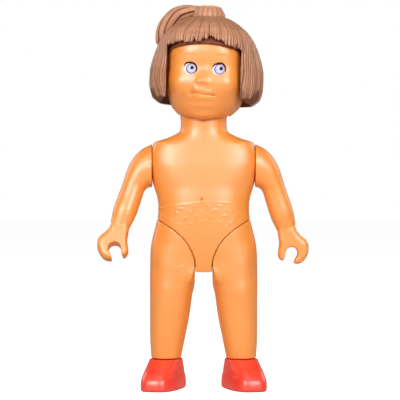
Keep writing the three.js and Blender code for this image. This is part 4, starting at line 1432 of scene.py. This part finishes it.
@dataclass
class FacePrint:
    """The printed eyes and brows, as thin films of paint on the face."""

    head: Head
    eye_height: float = 181.55
    iris_radius: float = 2.95
    ring_width: float = 0.36
    pupil_radius: float = 1.05
    film: float = 0.03
    sink: float = 0.12
    white_shift: Pair = (-0.66, -0.12)
    white_size: Pair = (1.12, 1.07)  # in radii of the iris
    iris_shift: Pair = (0.14, 0.08)
    glint_shift: Pair = (-0.78, 0.72)
    glint_size: Pair = (0.18, 0.16)
    lash_widths: tuple[float, ...] = (0.08, 0.75, 1.05, 0.98, 0.88, 0.76, 0.6, 0.12)
    spike_widths: tuple[float, ...] = (0.34, 0.05)
    brow_widths: tuple[float, ...] = (0.12, 0.3, 0.38, 0.3, 0.12)

    def patch(
        self, centre: Pair, size: Pair, layer: int,
        columns: int = 64, rings: int = 8,
    ) -> tuple[Form, Array]:
        """A round film of paint.

        Args:
            centre: Its middle, across and up.
            size: Half width and half height.
            layer: How many films lie under it.
            columns: Points round it.
            rings: Rings from the middle to the edge.

        Returns:
            The film, and each point's share of the way to the edge.
        """
        turn = full_turn(columns)
        shares = np.linspace(1 / rings, 1, rings)
        x = centre[0] + size[0] * shares[:, None] * np.cos(turn)
        z = centre[1] + size[1] * shares[:, None] * np.sin(turn)
        top = self.head.face_point(x, z, self.film * (layer + 1))
        low = self.head.face_point(x[-1:], z[-1:], -self.sink)
        form = ringed(np.concatenate([low, top[::-1]]))
        reach = np.concatenate([np.ones(columns), np.repeat(shares[::-1], columns), [0.5, 0]])
        return form, reach

    def stroke(
        self, knots: Sequence[Pair], widths: Sequence[float], layer: int, count: int = 40,
    ) -> Form:
        """A painted line of changing width.

        Args:
            knots: Places that it runs through, across and up.
            widths: Its width at each.
            layer: How many films lie under it.
            count: Points along it.

        Returns:
            The film.
        """
        line = spline(knots, count)
        width = np.interp(np.linspace(0, 1, count), np.linspace(0, 1, len(widths)), widths)
        along = np.gradient(line, axis=0)
        side = np.stack([-along[:, 1], along[:, 0]], 1) / np.linalg.norm(along, axis=1)[:, None]
        rows = []
        low, top = -self.sink, self.film * (layer + 1)
        for across, lift in ((-0.5, low), (-0.5, top), (0, top), (0.5, top), (0.5, low)):
            place = line + side * (width * across)[:, None]
            rows.append(self.head.face_point(place[:, 0], place[:, 1], lift))
        return ringed(np.swapaxes(np.array(rows), 0, 1))

    def eye(self, eye: PrintedEye, paints: dict[str, Material]) -> None:
        """Paints one eye.

        Args:
            eye: Where its parts lie.
            paints: The paints by name.
        """
        x, z, r = eye.place, self.eye_height, self.iris_radius
        iris, pupil = (x, z), (x + eye.glance[0], z + eye.glance[1])
        inner = r - self.ring_width
        white = (r * self.white_size[0], r * self.white_size[1])
        # from the face outwards: middle, shift, half width and height, points round, rings, paint
        discs = (
            (iris, self.white_shift, white, 64, 8, "white"),
            (iris, (0, 0), (r, r), 64, 8, "ring"),
            (iris, self.iris_shift, (inner, inner), 64, 8, "iris"),
            (pupil, (0, 0), (self.pupil_radius,) * 2, 32, 4, "pupil"),
            (pupil, self.glint_shift, self.glint_size, 16, 3, "white"),
        )
        parts: list[Film] = []
        for layer, (middle, shift, size, columns, rings, paint) in enumerate(discs):
            centre = (middle[0] + shift[0], middle[1] + shift[1])
            parts.append((*self.patch(centre, size, layer, columns, rings), paint))
        layer = len(discs)
        lash = [(x + across, z + up) for across, up in eye.lash]
        parts.append((self.stroke(lash, self.lash_widths, layer, 110), None, "lash"))
        for across, up, run, climb in eye.spikes:
            foot, tip = (x + across, z + up), (x + across + run, z + up + climb)
            parts.append((self.stroke((foot, tip), self.spike_widths, layer + 1, 6), None, "lash"))
        names = ["white", "ring", "iris", "pupil", "lash"]
        self.join(parts, f"eye_{eye.side.label}_print", names, paints)

    def join(
        self, parts: list[Film], name: str, names: list[str], paints: dict[str, Material],
    ) -> None:
        """Makes one piece of several films.

        Args:
            parts: Each film, its reach and its paint's name.
            name: The piece's name.
            names: The paints in slot order.
            paints: The paints by name.
        """
        points, faces, reaches, slots = [], [], [], []
        for form, reach, paint in parts:
            offset = sum(len(p) for p in points)
            points.append(self.head.place.outward(form.points))
            faces += [tuple(i + offset for i in face) for face in form.faces]
            reaches.append(np.zeros(len(form.points)) if reach is None else reach)
            slots += [names.index(paint)] * len(form.faces)
        whole = Form(np.vstack(points), faces)
        item = whole.mesh(name, {"reach": np.concatenate(reaches)})
        dress(item, Body.HEAD, "skin", *(paints[key] for key in names))
        item.data.polygons.foreach_set("material_index", slots)

    def build(self) -> None:
        """Prints both eyes and both brows."""
        paints = {
            "white": PaintFinish("eye_white_paint", linear(250, 244, 246), linear(242, 234, 240)).build(),
            "ring": PaintFinish("iris_ring_paint", linear(104, 98, 172), linear(86, 80, 150)).build(),
            "iris": IrisFinish().build(),
            "pupil": PaintFinish("pupil_paint", linear(14, 10, 18), linear(26, 20, 32)).build(),
            "lash": PaintFinish("lash_paint", linear(50, 14, 14), linear(66, 22, 18)).build(),
            "brow": PaintFinish("brow_paint", linear(186, 108, 44), linear(198, 120, 54)).build(),
        }
        for eye in PRINTED_EYES:
            self.eye(eye, paints)
            form = self.stroke(eye.brow, self.brow_widths, 0, 60)
            self.join([(form, None, "brow")], f"brow_{eye.side.label}_print", ["brow"], paints)


# Hair


@dataclass
class Hair:
    """The moulded bob, the ribbed tie with its pale rim, and the side tail."""

    place: HeadPlace
    voxel: float = 0.37
    rounds: int = 4
    fair: float = 3.2
    seed: int = 7
    strand_widths: Pair = (0.030, 0.064)  # in radians about the crown
    fringe_height: float = 195.6
    fringe_sag: float = 3.8
    fringe_reach: float = 21.5
    tip_lift: float = 0.4  # how far the fringe's tips end over the smooth layer under them
    notch_width: float = 0.7
    notch_depths: tuple[float, float, float] = (0.3, 1.1, 3)  # least, most, and of the few deep ones
    deep_notches: float = 0.2  # their share
    strand_depth: float = 0.42
    groove_width: float = 0.34
    groove_depths: Pair = (0.35, 1)
    groove_starts: Pair = (200, 216)
    deep_grooves: float = 0.22  # their share
    deep_groove: float = 1.4  # how much deeper they are
    fine_depth: float = 0.1
    lock_depth: float = 0.7
    side_turn: Pair = (0.85, 1.25)  # where the locks of the sides start
    side_heights: Pair = (199, 190)
    crown_fade: Pair = (7.5, 12)
    # how far above the fringe's edge and in front of the face the lining runs
    lining_section: tuple[Pair, ...] = (
        (0.25, 0.35), (0, 0.6), (0, 1.1), (0.25, 1.55), (1, 1.8), (6, 1.9), (6, 0.35),
    )
    lining_ends: tuple[float, float, float] = (16.5, 4.5, 6)  # from where it drops, over what width, how far
    lining_ripple: float = 0.06
    # share of painted shade on the lining
    lining_tint: float = 0.4
    # rays that measure how far the bob covers a point, for the painted shade under the fringe's tips
    cover_rays: tuple[Colour, ...] = (
        (0, 0, 1), (0.35, 0, 0.94), (-0.35, 0, 0.94), (0.25, -0.5, 0.83),
        (-0.25, -0.5, 0.83), (0, -0.3, 0.95), (0, -0.62, 0.78),
    )
    cover_start: float = 0.35
    cover_reach: float = 4
    bob_top: float = 214
    tie_base: float = 9.6
    tie_top: float = 7
    tie_height: float = 5
    tie_sink: float = 2.4
    tie_ribs: int = 18
    # share of painted shade in the ribs' grooves
    tie_tint: float = 0.4
    # share of the height, and share of the way from the top's radius to the base's
    tie_profile: tuple[Pair, ...] = (
        (0, 1), (0.2, 1), (0.34, 0.98), (0.5, 0.86), (0.66, 0.62),
        (0.82, 0.32), (0.93, 0.12), (0.98, 0.02), (1, -0.12),
    )
    rib_depth: float = 0.4
    rim_radius: float = 5
    rim_rise: float = 0.9
    rim_gap: float = 0.3
    rim_seat: float = 1
    rim_wave: float = 0.12
    tail_rows: int = 130
    tail_columns: int = 168
    tail_locks: int = 3
    tail_widths: Pair = (5.2, 9.4)
    tail_swell: tuple[float, ...] = (0, 0.34, 0.8, 1, 1, 0.94, 0.78, 0.5)
    tail_out: tuple[float, ...] = (0.12, 0.3, 0.48, 0.66, 0.81, 0.92, 0.98, 1)
    tail_down: tuple[float, ...] = (0, 0, 0.02, 0.08, 0.24, 0.43, 0.64, 1)
    tail_rise: float = 2.7
    tail_drop: float = 18
    tail_reach: float = 27
    tail_setback: float = 4
    tail_twist: float = 100
    tail_groove: float = 1.25
    tail_half_groove: float = 0.7
    tail_fine: float = 0.12

    def fringe_edge(self, x: Array) -> Array:
        """The height of the fringe's lower edge across the face."""
        return self.fringe_height - self.fringe_sag * (x / self.fringe_reach) ** 2

    def fringe_share(self, local: Array) -> Array:
        """How far each point belongs to the fringe's cut tips, from 0 to 1."""
        x, y, z = local.T
        edge = self.fringe_edge(x)
        cut = smoothstep(edge + 7, edge + 2, z) * smoothstep(22.6, 20.4, np.abs(x))
        return cut * (y < -8) * (z > edge - 3)

    def strand_edges(self) -> tuple[Array, np.random.Generator]:
        """The directions of the grooves about the crown, and the dice that set them."""
        random = np.random.default_rng(self.seed)
        edges = -np.pi + np.cumsum(random.uniform(*self.strand_widths, 400))
        return edges[edges < np.pi], random

    def jag(self, local: Array) -> Array:
        """How much higher the fringe ends between the tips of its strands, in mm.

        Args:
            local: Points in the head's own frame.

        Returns:
            The extra height at each point.
        """
        edges, random = self.strand_edges()
        least, most, deep = self.notch_depths
        cut = random.uniform(least, most, len(edges))
        cut = np.where(random.random(len(edges)) < self.deep_notches, deep, cut)
        turn = np.arctan2(local[:, 0], -local[:, 1])
        reach = np.hypot(local[:, 0], local[:, 1])
        after = np.clip(np.searchsorted(edges, turn), 1, len(edges) - 1)
        total = np.zeros(len(local))
        for near in (after - 1, after):
            away = np.abs(turn - edges[near]) * reach / (self.notch_width + 0.15 * cut[near])
            total = np.maximum(total, cut[near] * np.maximum(0, 1 - away))
        return total

    def lining(self, head: Head, finish: Material) -> None:
        """Makes the smooth layer under the fringe's tips.

        Args:
            head: The head it lies on.
            finish: The lining's finish: the hair's colours darkened, as painted shade.
        """
        x = np.linspace(-self.fringe_reach, self.fringe_reach, 170)
        bend, width, drop = self.lining_ends
        edge = self.fringe_edge(x) - drop * np.maximum(0, (np.abs(x) - bend) / width) ** 3
        rows = [head.face_point(x, edge + up, lift) for up, lift in self.lining_section]
        form = ringed(np.swapaxes(np.array(rows), 0, 1))
        across = form.points[:, 0]
        ripple = self.lining_ripple * np.sin(across * 4.1 + np.sin(across * 1.3))
        form.points[:, 1] -= ripple
        # painted shade on the lining, rippled with its surface
        form.groove = np.full(len(form.points), self.lining_tint) + ripple
        form.points = self.place.outward(form.points)
        dress(form.mesh("fringe_lining"), Body.HEAD, "hair", finish)

    def strand_grooves(self, turn: Array, z: Array, reach: Array) -> Array:
        """The fine grooves between strands, by direction about the crown.

        Args:
            turn: Direction about the crown.
            z: Height.
            reach: Distance from the crown's axis.

        Returns:
            Each point's depth in a groove, from 0 on a strand to 1.
        """
        edges, random = self.strand_edges()
        deep = random.uniform(*self.groove_depths, len(edges))
        deep *= np.where(random.random(len(edges)) < self.deep_grooves, self.deep_groove, 1)
        start = random.uniform(*self.groove_starts, len(edges))
        wander = 0.016 * np.sin(z * 0.17 + 3 * turn) + 0.01 * np.sin(z * 0.37 + 9 * turn)
        at = turn + wander
        after = np.clip(np.searchsorted(edges, at), 1, len(edges) - 1)
        total = np.zeros_like(turn)
        for near in (after - 1, after):
            away = np.abs(at - edges[near]) * np.maximum(reach, 4)
            shown = 0.35 + 0.65 * smoothstep(start[near], start[near] - 8, z)
            groove = np.exp(-((away / self.groove_width) ** 2))
            total = np.maximum(total, deep[near] * shown * groove)
        return np.clip(total, 0, 1.3)

    def strand_relief(self, local: Array) -> tuple[Array, Array]:
        """How far the hair's surface lies below its plain form.

        Args:
            local: Points in the head's own frame.

        Returns:
            The depth in mm, and each point's share of painted shade in the grooves.
        """
        x, y, z = local.T
        turn = np.arctan2(x, -y)
        reach = np.hypot(x, y)
        side = smoothstep(*self.side_turn, np.abs(turn)) * smoothstep(*self.side_heights, z)
        fade = smoothstep(*self.crown_fade, reach)
        fine = self.strand_grooves(turn, z, reach) * fade * (1 - 0.7 * side)
        hairs = 0.5 + 0.5 * np.sin(turn * 210 + 2.5 * np.sin(z * 0.21 + turn * 5))
        wave = turn * 25 + 1.5 * np.sin(z * 0.13 + turn * 2) + 0.6 * np.sin(z * 0.3)
        lock = (0.5 - 0.5 * np.cos(wave)) ** 1.6
        tips = self.fringe_share(local)
        fine = np.clip(fine * (1 + 0.5 * tips), 0, 1.3)
        depth = self.strand_depth * fine + self.fine_depth * hairs * fade
        depth = depth + self.lock_depth * lock * side
        # painted shade in the strand grooves and between the locks
        tint = fine * (0.75 + 0.25 * tips) + 0.45 * lock**2 * side + 0.1 * hairs * fade
        return depth, np.clip(tint, 0, 1)

    def shade(self, form: Form, out: Array, local: Array, facing: Array) -> Array:
        """The deep shade inside the bob and under the fringe's tips.

        Args:
            form: The bob.
            out: Its normals.
            local: Its points in the head's own frame.
            facing: How far each point looks outwards.

        Returns:
            Each point's share of painted shade.
        """
        inside = smoothstep(0, -0.5, facing) * 0.95
        tree = solid_of("hair_cap")[1]
        covered = np.zeros(len(form.points))
        front = (local[:, 1] < -6) & (local[:, 2] < 203) & (facing > -0.2)
        rays = [Vector(ray) for ray in self.cover_rays]
        for i in np.flatnonzero(front):
            place = Vector(form.points[i] + out[i] * self.cover_start)
            hits = [tree.ray_cast(place, ray, self.cover_reach)[0] is not None for ray in rays]
            covered[i] = sum(hits) / len(rays)
        return np.maximum(inside, 0.9 * smoothstep(0.15, 0.6, covered))

    def bob(self, finish: Material) -> None:
        """Makes the bob with its fringe.

        Args:
            finish: The hair's finish.
        """
        form = Refiner("hair_cap").build(self.voxel, 0, self.rounds, fair=self.fair)
        local = self.place.inward(form.points)
        local[:, 2] += (self.tip_lift + self.jag(local)) * self.fringe_share(local)
        form.points = self.place.outward(local)
        faces = np.asarray(form.faces)
        out = normals_of(form.points, faces)
        spread = local.copy()
        spread[:, 2] = 0
        spread /= np.maximum(np.linalg.norm(spread, axis=1), 1e-6)[:, None]
        facing = (out @ self.place.matrix() * spread).sum(1)
        facing = facing + out[:, 2] * smoothstep(200, 212, local[:, 2])
        outer = smoothstep(0.15, 0.5, facing)
        depth, tint = self.strand_relief(local)
        shade = self.shade(form, out, local, facing)
        form.points = form.points - out * (depth * outer)[:, None]
        for _ in range(3):
            shade = spread_out(shade, faces)
        # painted shade: in the strand grooves outside, and inside the bob and under the fringe's tips
        form.groove = np.clip(np.maximum(tint * outer, shade), 0, 1)
        item = dress(form.mesh("hair_bob"), Body.HEAD, "hair", finish)
        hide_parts("hair_cap")

    def tie(self, finish: Material, rim: Material) -> None:
        """Makes the ribbed tie and its pale rim.

        Args:
            finish: The hair's finish.
            rim: The pale rim's finish.
        """
        turn = full_turn(self.tie_ribs * 10)
        low, high = self.bob_top - self.tie_sink, self.bob_top + self.tie_height
        rings, depth = [], []
        for rise, left in self.tie_profile:
            radius = self.tie_top + (self.tie_base - self.tie_top) * left
            rib = (1 - np.abs(np.cos(turn * self.tie_ribs / 2))) ** 1.4 * (1 if rise < 0.95 else 0.3)
            rings.append(circle(turn, radius - self.rib_depth * rib, low + (high - low) * rise))
            depth.append(rib)
        for height in (high, high - self.rim_seat):
            rings.append(circle(turn, self.rim_radius + self.rim_gap, height))
            depth.append(np.zeros(len(turn)))
        form = ringed(np.array(rings))
        # painted shade in the ribs' grooves
        form.groove = np.concatenate([np.concatenate(depth), [0, 0]]) * self.tie_tint
        form.points = self.place.outward(form.points)
        item = dress(form.mesh("hair_tie_ribbed"), Body.HEAD, "hair", finish)
        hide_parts("hair_tie")
        top, r = high + self.rim_rise, self.rim_radius
        profile = (
            (high - 1.2, r - 0.2), (high - 0.9, r), (top - 0.5, r), (top - 0.15, r - 0.15),
            (top, r - 0.6), (top - 0.2, r - 1.3), (top - 0.5, r - 2),
        )
        ring = lathe(profile, 96)
        x, y, z = ring.points.T
        ring.points[:, 2] += self.rim_wave * np.sin(np.arctan2(y, x) * 5) * (z > high)
        ring.points = self.place.outward(ring.points)
        item = dress(ring.mesh("crown_rim_pale"), Body.HEAD, "rim", rim)
        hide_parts("crown_rim")

    def tail_line(self, rows: int) -> Array:
        """The tail's middle line: out of the tie, over the bob's shoulder and down.

        Args:
            rows: Number of points.

        Returns:
            The points, evenly spaced, in the head's own frame.
        """
        high, fall = self.bob_top + self.tail_rise, self.tail_rise + self.tail_drop
        knots = [
            (-self.tail_reach * out, self.tail_setback * out, high - fall * down)
            for out, down in zip(self.tail_out, self.tail_down)
        ]
        line = spline(knots, 400)
        length = lengths(line)
        places = np.linspace(0, length[-1], rows)
        return np.stack([np.interp(places, length, line[:, i]) for i in range(3)], 1)

    def tail(self, finish: Material) -> None:
        """Makes the side tail: locks that swell out of the tie and turn round each other.

        Args:
            finish: The hair's finish.
        """
        line = self.tail_line(self.tail_rows)
        share = np.linspace(0, 1, self.tail_rows)
        along = np.gradient(line, axis=0)
        along /= np.linalg.norm(along, axis=1)[:, None]
        across = np.array([0.0, 1.0, 0.0])
        up = np.cross(along, across)
        up /= np.linalg.norm(up, axis=1)[:, None]
        thin, full = self.tail_widths
        swell = np.interp(share, np.linspace(0, 1, len(self.tail_swell)), self.tail_swell)
        tip = np.sqrt(1 - smoothstep(0.9, 1.02, share) ** 2)
        width = (thin + (full - thin) * swell) * tip / 2
        turn = full_turn(self.tail_columns)
        twist = math.radians(self.tail_twist) * share[:, None]
        phase = self.tail_locks * (turn[None, :] + twist) / 2
        lobe = np.exp(-((np.sin(phase + np.pi / 2) / 0.24) ** 2))
        half = np.exp(-((np.sin(phase) / 0.17) ** 2)) * smoothstep(0.12, 0.3, share)[:, None]
        strand = 0.5 - 0.5 * np.cos(phase * 14 + 2 * np.sin(share[:, None] * 9))
        cut = self.tail_groove * lobe + self.tail_half_groove * half + self.tail_fine * strand
        cut = cut * (0.45 + 0.55 * width / width.max())[:, None]
        r = np.maximum(width[:, None] - cut, width[:, None] * 0.5)
        sideways = across * (np.cos(turn) * r)[..., None]
        points = line[:, None] + sideways + up[:, None] * (np.sin(turn) * r)[..., None]
        form = ringed(points)
        # painted shade in the grooves between the locks and the strands
        form.groove = np.append(np.clip(lobe + half * 0.8 + strand * 0.1, 0, 1).ravel(), [0.5, 0.5])
        form.points = self.place.outward(form.points)
        item = dress(form.mesh("side_tail_locks"), Body.HEAD, "hair", finish)
        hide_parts("side_tail")

    def build(self, head: Head, finish: Material, rim: Material) -> None:
        """Makes all the hair.

        Args:
            head: The head it lies on.
            finish: The hair's finish.
            rim: The pale rim's finish.
        """
        # the lining's finish: the hair's colours darkened, as painted shade under the fringe's tips
        under = HairFinish(
            "hair_lining_shade", linear(136, 62, 24), linear(148, 70, 30), linear(84, 30, 8), (0.6, 0.75),
        )
        self.lining(head, under.build())
        self.bob(finish)
        self.tie(finish, rim)
        self.tail(finish)


# Hidden joint parts


@dataclass
class JointPins:
    """The axle, pins and plug that hold the limbs and the head."""

    nodes: tuple[str, ...] = ("hip_axle", "shoulder_pin_left", "shoulder_pin_right", "neck_plug")

    def build(self, finish: Material) -> None:
        """Gives each pin its finish.

        Args:
            finish: The pins' finish.
        """
        for node in self.nodes:
            data = frame["nodes"][node].data
            data.materials.clear()
            data.materials.append(finish)
            log.info("%s: its own solid, in pin plastic", node)


# Studio


@dataclass
class Studio:
    """A plain pale floor, soft lights and the camera in front."""

    camera_place: tuple[float, float, float] = (-2.1, DOLL_SHIFT - 1000, 108.1)
    lens: float = 156.5
    sensor: float = 36
    nearest: float = 0.01
    floor_size: float = 8
    # name, place in metres, size in metres, power in watts
    lamps: tuple[tuple[str, tuple[float, float, float], float, float], ...] = (
        ("key", (-0.54, -1.1, 0.64), 0.6, 10.2),
        ("fill", (0.57, -1.1, 0.62), 0.6, 9.8),
        ("left_side", (-1.1, 0.7, 0.7), 1, 5),
        ("right_side", (1.1, 0.7, 0.7), 1, 5),
        ("top", (0, -0.4, 1.4), 0.8, 2),
    )
    aim: tuple[float, float, float] = (0, 0, 0.11)
    sky: float = 0.06
    backdrop: float = 1

    def build(self) -> None:
        """Sets up the stage."""
        scene = bpy.context.scene
        scene.view_settings.view_transform = "Standard"
        size = self.floor_size
        data = bpy.data.meshes.new("floor")
        corners = [(x * size, y * size, 0) for x, y in ((-1, -1), (1, -1), (1, 1), (-1, 1))]
        data.from_pydata(corners, [], [(0, 1, 2, 3)])
        floor = bpy.data.objects.new("floor", data)
        scene.collection.objects.link(floor)
        data.materials.append(StageFinish().build())
        for name, place, width, power in self.lamps:
            lamp = bpy.data.lights.new(name, "AREA")
            lamp.shape = "DISK"
            lamp.size = width
            lamp.energy = power
            item = bpy.data.objects.new(name, lamp)
            item.location = place
            towards = Vector(self.aim) - Vector(place)
            item.rotation_euler = towards.to_track_quat("-Z", "Y").to_euler()
            scene.collection.objects.link(item)
        camera = bpy.data.objects.new("camera", bpy.data.cameras.new("camera"))
        camera.location = [c * MM for c in self.camera_place]
        camera.rotation_euler = (math.pi / 2, 0, 0)
        camera.data.lens = self.lens
        camera.data.sensor_width = self.sensor
        camera.data.clip_start = self.nearest
        scene.collection.objects.link(camera)
        scene.camera = camera
        self.world(scene)

    def world(self, scene: bpy.types.Scene) -> None:
        """A white backdrop that lights the figure softly.

        Args:
            scene: The scene to light.
        """
        world = bpy.data.worlds.new("studio")
        scene.world = world
        world.use_nodes = True
        tree = world.node_tree
        tree.nodes.clear()
        rays = tree.nodes.new("ShaderNodeLightPath")
        mix = tree.nodes.new("ShaderNodeMixShader")
        tree.links.new(rays.outputs["Is Camera Ray"], mix.inputs["Fac"])
        for slot, strength in ((1, self.sky), (2, self.backdrop)):
            light = tree.nodes.new("ShaderNodeBackground")
            light.inputs["Color"].default_value = (1, 1, 1, 1)
            light.inputs["Strength"].default_value = strength
            tree.links.new(light.outputs["Background"], mix.inputs[slot])
        out = tree.nodes.new("ShaderNodeOutputWorld")
        tree.links.new(mix.outputs["Shader"], out.inputs["Surface"])


def main() -> None:
    """Builds the figure piece by piece and sets the stage."""
    logging.basicConfig(level=logging.INFO, format="%(name)s: %(message)s")
    skin = SkinFinish().build()
    hair = HairFinish().build()
    shoe = ShoeFinish().build()
    rim = PlainFinish("rim_plastic", linear(252, 222, 178), linear(244, 206, 158)).build()
    pin = PlainFinish("pin_plastic", linear(232, 228, 218), linear(222, 216, 204)).build()
    JointPins().build(pin)
    Torso().build(skin)
    for side, nub in THIGH_NUBS.items():
        Leg(side, nub).build(skin, shoe)
        Arm(side).build(skin)
    place = HeadPlace()
    head = Head(place)
    head.build(skin)
    FacePrint(head).build()
    Hair(place).build(head, hair, rim)
    Studio().build()


if __name__ == "__main__":
    main()
